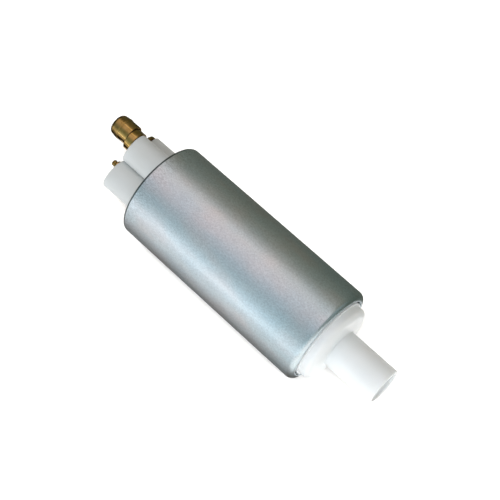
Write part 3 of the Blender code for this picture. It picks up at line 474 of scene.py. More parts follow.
plasticFinish = {
    "flowSize": 14 * mm,
    "roughnessSpread": (-0.04, 0.05),
    "relief": 0.12,
    "reliefDepth": 0.03 * mm,
    "ior": 1.49,
    "scatterReach": (1.0, 0.95, 0.9),
    "scatterDepth": 2.0 * mm,
}


def mouldedPlastic(name, colours, roughness, scatter, grainSize):
    # a moulded plastic: even colour, soft gloss, the mould's fine spark grain and a little depth
    values = plasticFinish
    made, tree = startMaterial(name)
    place = addNode(tree, "ShaderNodeTexCoord").outputs["Object"]
    tint = addNode(tree, "ShaderNodeValToRGB", {"Fac": cloud(tree, place, values["flowSize"], 2.0)})
    fillRamp(tint, usualNoise, colours)
    grain = cloud(tree, place, grainSize, 3.0)
    less, more = values["roughnessSpread"]
    rough = addNode(tree, "ShaderNodeMapRange",
                    {"Value": grain, **fromNoise, "To Min": roughness + less, "To Max": roughness + more})
    return finishWith(made, tint, rough, grain, values["relief"], values["reliefDepth"],
                      {"IOR": values["ior"], "Subsurface Weight": scatter,
                       "Subsurface Radius": values["scatterReach"],
                       "Subsurface Scale": values["scatterDepth"]})


turnedFinish = {
    "tarnishSize": 2.2 * mm,
    "ringStretch": (1.0, 60.0, 60.0),    # the tool marks run round the axis
    "roughnessSpread": (-0.04, 0.05),
    "relief": 0.5,
}


def turnedMetal(name, colours, roughness, pitch, cut, dullEnd=None, dullness=0.0):
    # a lathe-turned metal: rings of tool marks across the axis, with tarnish in soft clouds
    made, tree = startMaterial(name)
    place = addNode(tree, "ShaderNodeTexCoord").outputs["Object"]
    clouds = cloud(tree, place, turnedFinish["tarnishSize"], 3.0)
    tint = addNode(tree, "ShaderNodeValToRGB", {"Fac": clouds})
    fillRamp(tint, usualNoise, colours)
    rings = cloud(tree, place, pitch, 1.0, turnedFinish["ringStretch"])
    less, more = turnedFinish["roughnessSpread"]
    rough = addNode(tree, "ShaderNodeMapRange",
                    {"Value": clouds, **fromNoise, "To Min": roughness + less, "To Max": roughness + more})
    if dullEnd is not None:
        # a coarser cut past this place along the axis leaves that end duller
        along = addNode(tree, "ShaderNodeSeparateXYZ", {"Vector": place}).outputs["X"]
        past = addNode(tree, "ShaderNodeMath", (along, dullEnd), operation="LESS_THAN")
        rough = addNode(tree, "ShaderNodeMath", (past, dullness, rough), operation="MULTIPLY_ADD")
    return finishWith(made, tint, rough, rings, turnedFinish["relief"], cut, {"Metallic": 1.0})


grainyFinish = {
    "tones": (0.35, 0.65),               # where the grain changes from the one tone to the other
    "roughnessSpread": (-0.05, 0.06),
    "relief": 0.5,
}


def grainySurface(name, colours, roughness, grainSize, depth, metallic=1.0, stretch=(1.0, 1.0, 1.0)):
    # a pressed, sintered, cast or drawn surface: a two-tone grain with its own relief
    made, tree = startMaterial(name)
    place = addNode(tree, "ShaderNodeTexCoord").outputs["Object"]
    grain = cloud(tree, place, grainSize, 4.0, stretch)
    tint = addNode(tree, "ShaderNodeValToRGB", {"Fac": grain})
    fillRamp(tint, grainyFinish["tones"], colours)
    less, more = grainyFinish["roughnessSpread"]
    rough = addNode(tree, "ShaderNodeMapRange",
                    {"Value": grain, **fromNoise, "To Min": roughness + less, "To Max": roughness + more})
    return finishWith(made, tint, rough, grain, grainyFinish["relief"], depth, {"Metallic": metallic})


# one finish for each slot of the record
finishes = {
    "zinc_plated_steel": zincPlatedSteel(),
    # glass-filled nylon moulding: a greyish off-white with a fine dry grain
    "white_nylon": mouldedPlastic(
        "moulded white nylon", ("#D6DADB", "#D1D4D3"), roughness=0.42, scatter=0.08, grainSize=0.5 * mm),
    # acetal moulding: whiter and smoother, with a soft edge where light sinks in
    "white_acetal": mouldedPlastic(
        "moulded white acetal", ("#F4F8FA", "#F0F5F7"), roughness=0.34, scatter=0.4, grainSize=0.8 * mm),
    # free-cutting brass, turned and left bare: deep gold with browner clouds, duller on the barb
    "turned_brass": turnedMetal(
        "turned brass", ("#98793F", "#B3925A"), roughness=0.13, pitch=0.18 * mm, cut=0.003 * mm,
        dullEnd=-65.9 * mm, dullness=0.16),
    # hardened steel, ground: a cool even grey with very fine rings in its highlights
    "ground_steel": turnedMetal(
        "ground steel", ("#B9BBBD", "#C7C8C9"), roughness=0.22, pitch=0.12 * mm, cut=0.002 * mm),
    # spring wire, hard drawn: a darker grey with the die's fine grain
    "spring_steel": grainySurface(
        "drawn spring steel", ("#8E9196", "#A2A5AA"), roughness=0.3, grainSize=0.3 * mm,
        depth=0.004 * mm),
    # copper graphite, pressed: dull brown-black with a coppery glint in its grains
    "copper_graphite": grainySurface(
        "pressed copper graphite", ("#2B2624", "#4A3B33"), roughness=0.55, grainSize=0.15 * mm,
        depth=0.01 * mm, metallic=0.4),
    # stamped sheets, stacked: fine lines across the axis where one sheet meets the next
    "lamination_steel": grainySurface(
        "stacked lamination steel", ("#6E7073", "#8A8C8E"), roughness=0.45, grainSize=0.5 * mm,
        depth=0.03 * mm, stretch=(1.0, 40.0, 40.0)),
    # copper wire, enamelled and wound: warm red-brown ridges that run along the slots
    "enamelled_copper": grainySurface(
        "enamelled copper wire", ("#8E3F1C", "#B9602F"), roughness=0.3, grainSize=0.45 * mm,
        depth=0.06 * mm, metallic=0.9, stretch=(30.0, 1.0, 1.0)),
    # ferrite, sintered: a dense dark grey with hardly a highlight
    "ferrite": grainySurface(
        "sintered ferrite", ("#2A2B2E", "#3A3B3E"), roughness=0.6, grainSize=0.3 * mm,
        depth=0.01 * mm, metallic=0.0),
    # bronze, sintered: dull gold, speckled by its open pores
    "sintered_bronze": grainySurface(
        "sintered bronze", ("#8C6A3E", "#B08A56"), roughness=0.48, grainSize=0.2 * mm,
        depth=0.015 * mm),
    # aluminium, die cast: pale grey with a soft, slightly uneven skin
    "die_cast_aluminium": grainySurface(
        "die-cast aluminium", ("#B4B6B8", "#C6C8CA"), roughness=0.42, grainSize=0.6 * mm,
        depth=0.02 * mm),
    # phenolic resin, moulded: near black with a low gloss
    "black_phenolic": grainySurface(
        "moulded black phenolic", ("#1C1A19", "#2A2725"), roughness=0.45, grainSize=0.4 * mm,
        depth=0.01 * mm, metallic=0.0),
    # nitrile rubber, moulded: matt black
    "nitrile_rubber": grainySurface(
        "moulded nitrile rubber", ("#161616", "#1F1F1F"), roughness=0.65, grainSize=0.25 * mm,
        depth=0.006 * mm, metallic=0.0),
}
print("finishes ready:", len(finishes))


# Geometry Nodes tree for everything that was turned, or swept round an oval

formInputs = [
    *((name, "NodeSocketFloat", 0.0) for name in ("Half Width", "Front", "Back", "Roll")),
    ("Centre", "NodeSocketVector", (0.0, 0.0, 0.0)),
    ("Segments", "NodeSocketInt", 96),
    ("Round Steps", "NodeSocketInt", 6),
    ("Thread Pitch", "NodeSocketFloat", 1.0),
    *((name, "NodeSocketFloat", 0.0) for name in ("Thread Depth", "Thread Start", "Thread End")),
    ("Material", "NodeSocketMaterial", None),
]

mergeDistance = 0.002 * mm    # where a swept grid meets itself
weldDistance = 0.001 * mm


def sweptFormTree():
    tree = bpy.data.node_groups.new("profile swept round an axis", "GeometryNodeTree")
    tree.interface.new_socket("Geometry", in_out="INPUT", socket_type="NodeSocketGeometry")
    for name, kind, value in formInputs:
        socket = tree.interface.new_socket(name, in_out="INPUT", socket_type=kind)
        if value is not None:
            socket.default_value = value
    tree.interface.new_socket("Geometry", in_out="OUTPUT", socket_type="NodeSocketGeometry")
    given = addNode(tree, "NodeGroupInput").outputs

    # the profile, with each corner rounded by its own radius
    outline = addNode(tree, "GeometryNodeMeshToCurve", {"Mesh": given["Geometry"]})
    corner = addNode(tree, "GeometryNodeInputNamedAttribute", {"Name": "round"}, data_type="FLOAT")
    rounded = addNode(tree, "GeometryNodeFilletCurve",
                      {"Curve": outline, "Radius": corner, "Count": given["Round Steps"]}, mode="POLY")
    count = addNode(tree, "GeometryNodeAttributeDomainSize", {"Geometry": rounded}, component="CURVE")
    count = count.outputs["Point Count"]

    # a grid whose rows are the profile's points and whose columns are the turns
    columns = addNode(tree, "ShaderNodeMath", (given["Segments"], 1.0), operation="ADD")
    rows = addNode(tree, "ShaderNodeMath", (count, 1.0), operation="ADD")
    grid = addNode(tree, "GeometryNodeMeshGrid", {"Vertices X": rows, "Vertices Y": columns}).outputs["Mesh"]
    index = addNode(tree, "GeometryNodeInputIndex")
    row = addNode(tree, "ShaderNodeMath", (index, columns), operation="DIVIDE")
    row = addNode(tree, "ShaderNodeMath", (row,), operation="FLOOR")
    row = addNode(tree, "ShaderNodeMath", (row, count), operation="FLOORED_MODULO")
    column = addNode(tree, "ShaderNodeMath", (index, columns), operation="FLOORED_MODULO")
    position = addNode(tree, "GeometryNodeInputPosition")
    point = addNode(tree, "GeometryNodeSampleIndex", {"Geometry": rounded, "Value": position, "Index": row},
                    data_type="FLOAT_VECTOR", domain="POINT")
    point = addNode(tree, "ShaderNodeSeparateXYZ", {"Vector": point}).outputs
    reach = addNode(tree, "GeometryNodeInputNamedAttribute", {"Name": "reach"}, data_type="FLOAT")
    reach = addNode(tree, "GeometryNodeSampleIndex", {"Geometry": rounded, "Value": reach, "Index": row},
                    data_type="FLOAT", domain="POINT")

    # the thread: a ridge that climbs one pitch in each turn
    pitch = given["Thread Pitch"]
    share = addNode(tree, "ShaderNodeMath", (column, given["Segments"]), operation="DIVIDE")
    climb = addNode(tree, "ShaderNodeMath", (point["X"], pitch), operation="DIVIDE")
    climb = addNode(tree, "ShaderNodeMath", (climb, share), operation="SUBTRACT")
    climb = addNode(tree, "ShaderNodeMath", (climb,), operation="FRACT")
    groove = addNode(tree, "ShaderNodeMath", (climb, 2.0, -1.0), operation="MULTIPLY_ADD")
    groove = addNode(tree, "ShaderNodeMath", (groove,), operation="ABSOLUTE")

    # it fades at both ends
    fromStart = addNode(tree, "ShaderNodeMath", (point["X"], given["Thread Start"]), operation="SUBTRACT")
    fromStart = addNode(tree, "ShaderNodeMath", (fromStart, pitch), operation="DIVIDE")
    toEnd = addNode(tree, "ShaderNodeMath", (given["Thread End"], point["X"]), operation="SUBTRACT")
    toEnd = addNode(tree, "ShaderNodeMath", (toEnd, pitch), operation="DIVIDE")
    fade = addNode(tree, "ShaderNodeMath", (fromStart, toEnd), operation="MINIMUM")
    fade = addNode(tree, "ShaderNodeMath", (fade, 1.0), operation="MINIMUM")
    fade = addNode(tree, "ShaderNodeMath", (fade, 0.0), operation="MAXIMUM")
    cut = addNode(tree, "ShaderNodeMath", (groove, fade), operation="MULTIPLY")
    cut = addNode(tree, "ShaderNodeMath", (cut, given["Thread Depth"]), operation="MULTIPLY")
    radius = addNode(tree, "ShaderNodeMath", (point["Y"], cut), operation="SUBTRACT")

    # a circle, or half ellipses of different depth joined at their widest
    angle = addNode(tree, "ShaderNodeMath", (share, 2 * math.pi), operation="MULTIPLY")
    sine = addNode(tree, "ShaderNodeMath", (angle,), operation="SINE")
    cosine = addNode(tree, "ShaderNodeMath", (angle,), operation="COSINE")
    inFront = addNode(tree, "ShaderNodeMath", (sine, 0.0), operation="GREATER_THAN")
    depth = addNode(tree, "GeometryNodeSwitch",
                    {"Switch": inFront, "False": given["Back"], "True": given["Front"]}, input_type="FLOAT")
    side = addNode(tree, "ShaderNodeMath", (given["Half Width"], radius), operation="ADD")
    side = addNode(tree, "ShaderNodeMath", (side, cosine), operation="MULTIPLY")
    side = addNode(tree, "ShaderNodeMath", (side, reach), operation="MULTIPLY")
    up = addNode(tree, "ShaderNodeMath", (depth, radius), operation="ADD")
    up = addNode(tree, "ShaderNodeMath", (up, sine), operation="MULTIPLY")
    up = addNode(tree, "ShaderNodeMath", (up, reach), operation="MULTIPLY")
    placed = addNode(tree, "ShaderNodeCombineXYZ", (point["X"], side, up))
    turned = addNode(tree, "ShaderNodeVectorRotate", {"Vector": placed, "Angle": given["Roll"]},
                     rotation_type="X_AXIS")
    moved = addNode(tree, "ShaderNodeVectorMath", (turned, given["Centre"]), operation="ADD")
    shaped = addNode(tree, "GeometryNodeSetPosition", {"Geometry": grid, "Position": moved})
    joined = addNode(tree, "GeometryNodeMergeByDistance", {"Geometry": shaped, "Distance": mergeDistance})
    real = addNode(tree, "GeometryNodeRealizeInstances", {"Geometry": joined})
    painted = addNode(tree, "GeometryNodeSetMaterial", {"Geometry": real, "Material": given["Material"]})
    addNode(tree, "NodeGroupOutput", {"Geometry": painted})
    return tree


def cleanMesh(mesh, sharpAngle=35.0):
    # faces outward, smooth apart from real edges
    shape = bmesh.new()
    shape.from_mesh(mesh)
    bmesh.ops.remove_doubles(shape, verts=shape.verts, dist=weldDistance)
    bmesh.ops.dissolve_degenerate(shape, edges=shape.edges, dist=weldDistance)
    bmesh.ops.recalc_face_normals(shape, faces=shape.faces)
    shape.to_mesh(mesh)
    shape.free()
    mesh.shade_smooth()
    mesh.set_sharp_from_angle(angle=math.radians(sharpAngle))


def profileMesh(name, corners):
    # corners are (along, out, round) or (along, out, round, reach), in metres, as a closed loop
    mesh = bpy.data.meshes.new(name)
    count = len(corners)
    mesh.from_pydata([(corner[0], corner[1], 0.0) for corner in corners],
                     [(at, (at + 1) % count) for at in range(count)], [])
    rounding = mesh.attributes.new("round", "FLOAT", "POINT")
    reach = mesh.attributes.new("reach", "FLOAT", "POINT")
    for at, corner in enumerate(corners):
        rounding.data[at].value = corner[2]
        reach.data[at].value = corner[3] if len(corner) > 3 else 1.0
    return mesh


def keepResult(item):
    # the result of the modifiers takes the place of the mesh
    mesh = bpy.data.meshes.new_from_object(item.evaluated_get(bpy.context.evaluated_depsgraph_get()))
    item.modifiers.clear()
    item.data = mesh


def sweepForm(name, corners, material, sizes, **values):
    # runs the tree on a profile and keeps a plain mesh; the values are the tree's other inputs
    tree = bpy.data.node_groups.get("profile swept round an axis") or sweptFormTree()
    made = addObject(name, profileMesh(name, corners))
    modifier = made.modifiers.new("form", "NODES")
    modifier.node_group = tree
    sockets = {item.name.replace(" ", "").lower(): item.identifier
               for item in tree.interface.items_tree if item.in_out == "INPUT"}
    values.update(material=material, segments=sizes["segments"], roundSteps=sizes["roundSteps"])
    for key, value in values.items():
        modifier[sockets[key.lower()]] = value
    keepResult(made)
    cleanMesh(made.data)
    return made


def combine(target, tool, operation):
    # unites or cuts with an exact Boolean and keeps a plain mesh
    modifier = target.modifiers.new("join", "BOOLEAN")
    modifier.operation = operation
    modifier.solver = "EXACT"
    modifier.object = tool
    keepResult(target)
    bpy.data.objects.remove(tool, do_unlink=True)


def hold(piece, nodes, body="pump_body"):
    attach(piece, body)
    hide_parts(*nodes)
    print("made", piece.name, "with", len(piece.data.polygons), "faces")


# Sizes that the CAD boxes don't give, in metres

seat = 0.3 * mm               # clearance between pieces, and how far a cut runs past a face
rollAngle = math.radians(18.0)

canSizes = {
    "wall": 1.3 * mm,
    "lip": 1.2 * mm,
    "outletLipWidth": 2.8 * mm,
    "inletLipWidth": 2.6 * mm,
    "outletCorner": 1.0 * mm,
    "inletCorner": 2.3 * mm,
    "mouthEdge": 0.15 * mm,
    "segments": 192,
    "roundSteps": 10,
}


def canRadius():
    low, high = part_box("can")
    return (high.y - low.y) / 2


def makeCan():
    start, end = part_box("can")[0].x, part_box("can")[1].x
    radius = canRadius()
    bore = radius - canSizes["wall"]
    outletMouth = radius - canSizes["outletLipWidth"]
    inletMouth = radius - canSizes["inletLipWidth"]
    edge = canSizes["mouthEdge"]
    corners = [
        (start, outletMouth, edge),
        (start, radius, canSizes["outletCorner"]),
        (end, radius, canSizes["inletCorner"]),
        (end, inletMouth, edge),
        (end - canSizes["lip"], inletMouth, edge),
        (end - canSizes["lip"], bore, canSizes["inletCorner"] - canSizes["lip"]),
        (start + canSizes["lip"], bore, 0.0),
        (start + canSizes["lip"], outletMouth, edge),
    ]
    shell = sweepForm("canShell", corners, finishes["zinc_plated_steel"], canSizes)
    hold(shell, ["can"])


coverSizes = {
    "proud": 0.6 * mm,
    "thickness": 7.5 * mm,
    "neckEdge": 0.25 * mm,
    "shoulderEdge": 0.2 * mm,
    "faceEdge": 0.3 * mm,
    "bossWall": 1.1 * mm,
    "bossHeight": 2.0 * mm,
    "bossEdge": 0.2 * mm,
    "bearingPocket": 3.8 * mm,
    "bearingLength": 5.6 * mm,
    "pocketEdge": 0.1 * mm,
    "sealOffset": 5.1 * mm,
    "sealWire": 0.8 * mm,
    "grooveEdge": 0.1 * mm,
    "grooveRound": 0.15 * mm,
    "segments": 144,
    "roundSteps": 4,
    "sharpAngle": 30.0,
}

towerSizes = {
    # each tower: middle as side and up, and how far it reaches back
    "places": [((4.75 * mm, 3.70 * mm), 8.0 * mm),
               ((-6.70 * mm, 2.10 * mm), 6.5 * mm),
               ((7.45 * mm, -6.81 * mm), 4.4 * mm)],
    "halfWidth": 5.85 * mm,
    "front": 3.6 * mm,
    "edge": 0.7 * mm,
    "rim": 1.4,               # the flat top starts this many edge radii in
    "foot": 0.45 * mm,        # the fillet where a tower leaves the disc
    "fillet": 0.98,           # its radius, as a share of its width
    "segments": 144,
    "roundSteps": 8,
}

wellSizes = {
    "side": 4.0 * mm,
    "roof": 2.0 * mm,
    "cornerSteps": 3,
    "cornerShape": 0.5,       # a quarter of a circle
    "studDepth": 6.2 * mm,
    "bushDepth": 5.5 * mm,
    "passage": 1.8 * mm,
    "reliefWell": 2.2 * mm,
    "reliefDepth": 6.6 * mm,
    "reliefHole": 0.9 * mm,
    "segments": 48,
}


def rolled(place):
    side, up = place
    return (side * math.cos(rollAngle) - up * math.sin(rollAngle),
            side * math.sin(rollAngle) + up * math.cos(rollAngle))


def middle(node):
    # a node's middle across the axis
    low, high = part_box(node)
    return ((low.y + high.y) / 2, (low.z + high.z) / 2)


def drill(start, end, radius, centre, segments=wellSizes["segments"]):
    corners = [(start, 0.0, 0.0), (start, radius, 0.0), (end, radius, 0.0), (end, 0.0, 0.0)]
    return sweepForm("drill", corners, None, {"segments": segments, "roundSteps": 1},
                     centre=(0.0, *centre))


def squareWell(start, end, side, centre):
    shape = bmesh.new()
    bmesh.ops.create_cube(shape, size=1.0)
    bmesh.ops.scale(shape, vec=(end - start, side, side), verts=shape.verts)
    lengthwise = [edge for edge in shape.edges if abs(edge.verts[0].co.x - edge.verts[1].co.x) > side / 2]
    bmesh.ops.bevel(shape, geom=lengthwise, offset=seat, segments=wellSizes["cornerSteps"],
                    profile=wellSizes["cornerShape"], affect="EDGES")
    bmesh.ops.rotate(shape, verts=shape.verts, matrix=Matrix.Rotation(rollAngle, 3, "X"))
    bmesh.ops.translate(shape, verts=shape.verts, vec=((start + end) / 2, *centre))
    mesh = bpy.data.meshes.new("well")
    shape.to_mesh(mesh)
    shape.free()
    return addObject("well", mesh)


def makeTower(centre, back, foot, top):
    # an oval tower with a rounded top rim and a filleted foot
    root = foot + coverSizes["proud"] - seat
    flare = towerSizes["foot"]
    inset = -towerSizes["rim"] * towerSizes["edge"]
    corners = [
        (root, 0.0, 0.0, 0.0),
        (root, flare, 0.0),
        (foot, flare, 0.0),
        (foot, 0.0, towerSizes["fillet"] * flare),
        (top, 0.0, towerSizes["edge"]),
        (top, inset, 0.0),
        (top, inset, 0.0, 0.0),
    ]
    return sweepForm("tower", corners, None, towerSizes, halfWidth=towerSizes["halfWidth"],
                     front=towerSizes["front"], back=back, roll=rollAngle, centre=(0.0, *rolled(centre)))


def coverDisc(top, face):
    # the base disc with its neck, seal groove and bearing boss, as one turned form
    sizes = coverSizes
    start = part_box("can")[0].x
    radius = canRadius()
    inner = radius - canSizes["wall"] - seat
    neck = radius - canSizes["outletLipWidth"] - seat
    shoulder = start + canSizes["lip"] + seat
    halfGroove = sizes["sealWire"] + seat
    grooveStart = start + sizes["sealOffset"] - halfGroove
    grooveEnd = start + sizes["sealOffset"] + halfGroove
    grooveFloor = radius - canSizes["wall"] - 2 * sizes["sealWire"] - 2 * seat
    bossFace = face + sizes["bossHeight"]
    pocket = sizes["bearingPocket"]
    boss = pocket + sizes["bossWall"]
    pocketFloor = bossFace - sizes["bearingLength"] - seat
    corners = [
        (top, 0.0, 0.0),
        (top, neck, sizes["neckEdge"]),
        (shoulder, neck, 0.0),
        (shoulder, inner, sizes["shoulderEdge"]),
        (grooveStart, inner, sizes["grooveEdge"]),
        (grooveStart, grooveFloor, sizes["grooveRound"]),
        (grooveEnd, grooveFloor, sizes["grooveRound"]),
        (grooveEnd, inner, sizes["grooveEdge"]),
        (face, inner, sizes["faceEdge"]),
        (face, boss, sizes["faceEdge"]),
        (bossFace, boss, sizes["bossEdge"]),
        (bossFace, pocket, sizes["pocketEdge"]),
        (pocketFloor, pocket, 0.0),
        (pocketFloor, 0.0, 0.0),
    ]
    return sweepForm("outletCoverMoulding", corners, None, sizes)


def makeOutletCover():
    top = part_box("outlet_cover")[0].x
    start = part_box("can")[0].x
    foot = start - coverSizes["proud"]
    face = start + canSizes["lip"] + seat + coverSizes["thickness"]
    cover = coverDisc(foot, face)
    for centre, back in towerSizes["places"]:
        combine(cover, makeTower(centre, back, foot, top), "UNION")
    through = face + seat
    above = top - seat
    studEnd = top + wellSizes["studDepth"] + seat
    wellEnd = studEnd + wellSizes["roof"]
    for brush in ("brush_negative", "brush_positive"):
        well = squareWell(wellEnd, through, wellSizes["side"] + 2 * seat, middle(brush))
        combine(cover, well, "DIFFERENCE")
    bush, relief = middle("outlet_bush"), middle("relief_seat")
    bushEnd = top + wellSizes["bushDepth"] + seat
    reliefEnd = face - wellSizes["reliefDepth"]
    holes = [
        drill(above, bushEnd, brassSizes["bushBody"] + seat, bush, brassSizes["segments"]),
        drill(bushEnd - seat, through, wellSizes["passage"], bush),
        *(drill(above, studEnd, terminalSizes[stud]["shank"] + seat, middle(stud)) for stud in terminalSizes),
        drill(reliefEnd, through, wellSizes["reliefWell"], relief),
        drill(foot - seat, reliefEnd + seat, wellSizes["reliefHole"], relief),
    ]
    for hole in holes:
        combine(cover, hole, "DIFFERENCE")
    cleanMesh(cover.data, coverSizes["sharpAngle"])
    cover.data.materials.clear()
    cover.data.materials.append(finishes["white_nylon"])
    hold(cover, ["outlet_cover"])


capSizes = {
    "flange": 1.5 * mm,
    "gap": 0.7 * mm,
    "stepWidth": 0.7 * mm,
    "stepProud": 0.3 * mm,
    "edge": 0.12 * mm,
    "wall": 1.6 * mm,
    "side": 2.4 * mm,
    "edgeDepth": 1.9 * mm,
    "edgeWidth": 3.4 * mm,
    "edgeSteps": 14,
    "cone": 0.5 * mm,
    "spigot": 7.2 * mm,
    "spigotWall": 1.4 * mm,
    "spigotEdge": 0.5 * mm,
    "mouthEdge": 0.3 * mm,
    "boreEdge": 0.4 * mm,     # where the bore opens into the cavity
    "rootRound": 0.5 * mm,
    "segments": 160,
    "roundSteps": 6,
}


def quarterOval(along, out, depth, width, steps):
    # points of a quarter ellipse, from its outer side to its far end
    turns = [math.pi / 2 * (steps - step) / steps for step in range(steps + 1)]
    return [(along + depth * math.cos(turn), out + width * math.sin(turn), 0.0) for turn in turns]


def makeInletCover():
    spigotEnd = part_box("inlet_cover")[1].x
    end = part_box("can")[1].x
    radius = canRadius()
    inner = radius - canSizes["wall"] - seat
    lip = end - canSizes["lip"] - seat
    flange = lip - capSizes["flange"]
    sideEnd = end + capSizes["side"]
    root = sideEnd + capSizes["edgeDepth"] + capSizes["cone"]
    step = radius - canSizes["inletLipWidth"] - capSizes["gap"]
    stepFace = end + capSizes["stepProud"]
    cap = step - capSizes["stepWidth"]
    wall = capSizes["wall"]
    cavity = cap - wall
    cavityFloor = root - 2 * wall
    bore = capSizes["spigot"] - capSizes["spigotWall"]
    chamfer = canSizes["inletCorner"] - canSizes["lip"]
    edge = capSizes["edge"]
    rim = quarterOval(sideEnd, cap - capSizes["edgeWidth"], capSizes["edgeDepth"], capSizes["edgeWidth"],
                      capSizes["edgeSteps"])
    corners = [
        (flange, cap, 0.0),
        (flange, inner, edge),
        (lip - chamfer, inner, 0.0),
        (lip, inner - chamfer, 0.0),
        (lip, step, edge),
        (stepFace, step, edge),
        (stepFace, cap, edge),
        *rim,
        (root, capSizes["spigot"], capSizes["rootRound"]),
        (spigotEnd, capSizes["spigot"], capSizes["spigotEdge"]),
        (spigotEnd, bore, capSizes["mouthEdge"]),
        (cavityFloor + wall, bore, capSizes["boreEdge"]),
        (cavityFloor, cavity - wall, 0.0),
        (cavityFloor - wall, cavity, 0.0),
        (flange + wall, cavity, 0.0),
    ]
    cover = sweepForm("inletCoverMoulding", corners, finishes["white_acetal"], capSizes)
    hold(cover, ["inlet_cover"])


brassSizes = {
    "bushFlange": 4.4 * mm,
    "bushFlangeHeight": 3.2 * mm,
    "bushBody": 2.8 * mm,
    "bushRim": 0.3 * mm,
    "bushSeam": 0.12 * mm,
    "bushEnd": 0.2 * mm,
    "shank": 2.4 * mm,
    "shankLength": 2.0 * mm,
    "socketSegments": 64,
    "valveSeat": 1.5 * mm,
    "chamber": 3.1 * mm,
    "bore": 2.0 * mm,
    "boreEdge": 0.2 * mm,
    "body": 4.2 * mm,
    "bodyLength": 3.9 * mm,
    "shoulderReach": 0.18 * mm,   # how far the shoulder closes the seam over the bush
    "barb": 4.35 * mm,
    "barbLand": 0.7 * mm,
    "barbEnd": 4.1 * mm,
    "barbLength": 2.6 * mm,
    "barbEdge": 0.08 * mm,
    "noseLength": 1.5 * mm,
    "noseFace": 3.0 * mm,
    "noseSteps": 10,
    "edge": 0.1 * mm,             # the edges that aren't named here
    "segments": 96,
    "roundSteps": 5,
}


def turnedBrass(name, node, corners, sizes=brassSizes, **thread):
    return sweepForm(name, corners, finishes["turned_brass"], sizes, centre=(0.0, *middle(node)), **thread)


def makeOutletBush():
    low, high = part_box("outlet_bush")
    top, end = low.x, high.x
    flangeFace = top + brassSizes["bushFlangeHeight"]
    edge = brassSizes["edge"]
    corners = [
        (top, wellSizes["passage"], edge),
        (top, brassSizes["bushFlange"], brassSizes["bushRim"]),
        (flangeFace, brassSizes["bushFlange"], brassSizes["bushSeam"]),
        (flangeFace, brassSizes["bushBody"], edge),
        (end, brassSizes["bushBody"], brassSizes["bushEnd"]),
        (end, wellSizes["passage"], edge),
    ]
    bush = turnedBrass("outletBushTurned", "outlet_bush", corners)
    socket = drill(top - seat, top + brassSizes["shankLength"], brassSizes["shank"] + seat,
                   middle("outlet_nozzle"), brassSizes["socketSegments"])
    combine(bush, socket, "DIFFERENCE")
    cleanMesh(bush.data)
    hold(bush, ["outlet_bush"])


def makeOutletNozzle():
    sizes = brassSizes
    low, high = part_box("outlet_nozzle")
    tip, shankEnd = low.x, high.x
    base = shankEnd - sizes["shankLength"]
    chamberEnd = base - seat
    shoulder = base + sizes["shoulderReach"]
    barbStart = base - sizes["bodyLength"]
    barbEnd = barbStart - sizes["barbLength"]
    edge = sizes["edge"]
    nose = quarterOval(barbEnd, sizes["noseFace"], -sizes["noseLength"],
                       sizes["barbEnd"] - sizes["noseFace"], sizes["noseSteps"])
    corners = [
        (shankEnd, sizes["valveSeat"], edge),
        (chamberEnd, sizes["valveSeat"], 0.0),
        (chamberEnd, sizes["chamber"], 0.0),
        (barbEnd, sizes["chamber"], 0.0),
        (barbEnd, sizes["bore"], 0.0),
        (tip, sizes["bore"], sizes["boreEdge"]),
        *reversed(nose),
        (barbStart - sizes["barbLand"], sizes["barb"], edge),
        (barbStart, sizes["barb"], sizes["barbEdge"]),
        (barbStart, sizes["body"], sizes["barbEdge"]),
        (shoulder, sizes["body"], edge),
        (shoulder, sizes["shank"], 0.0),
        (shankEnd, sizes["shank"], edge),
    ]
    nozzle = turnedBrass("outletNozzleTurned", "outlet_nozzle", corners)
    hold(nozzle, ["outlet_nozzle"])


# what differs between the two terminals
terminalSizes = {
    "terminal_negative": {"name": "negativeStudTurned", "shank": 1.2 * mm,
                          "flangeHeight": 0.7 * mm, "stud": 1.2 * mm, "pitch": 0.8 * mm, "cut": 0.28 * mm},
    "terminal_positive": {"name": "positiveStudTurned", "shank": 1.9 * mm,
                          "flangeHeight": 1.3 * mm, "stud": 2.4 * mm, "pitch": 0.8 * mm, "cut": 0.32 * mm},
}

studSizes = {
    "rowsPerPitch": 8,
    "threadStop": 0.1 * mm,       # before the flange
    "rimEdge": 0.2 * mm,
    "seamEdge": 0.1 * mm,
    "endEdge": 0.2 * mm,
    "segments": 64,
    "roundSteps": 4,
}


def makeTerminal(node):
    sizes = terminalSizes[node]
    low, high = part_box(node)
    start, end = low.x, high.x
    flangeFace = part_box("outlet_cover")[0].x - seat
    flangeTop = flangeFace - sizes["flangeHeight"]
    stud, shank, flange = sizes["stud"], sizes["shank"], (high.y - low.y) / 2
    spacing = sizes["pitch"] / studSizes["rowsPerPitch"]
    threadEnd = flangeTop - studSizes["threadStop"]
    rows = int((threadEnd - start - seat) / spacing) + 1
    corners = [
        (start, 0.0, 0.0),
        (start, stud - seat, 0.0),
        *((start + seat + spacing * row, stud, 0.0) for row in range(rows)),
        (flangeTop, stud, 0.0),
        (flangeTop, flange, studSizes["rimEdge"]),
        (flangeFace, flange, studSizes["seamEdge"]),
        (flangeFace, shank, 0.0),
        (end, shank, studSizes["endEdge"]),
        (end, 0.0, 0.0),
    ]
    terminal = turnedBrass(sizes["name"], node, corners, studSizes, threadPitch=sizes["pitch"],
                           threadDepth=sizes["cut"], threadStart=start, threadEnd=threadEnd)
    hold(terminal, [node])
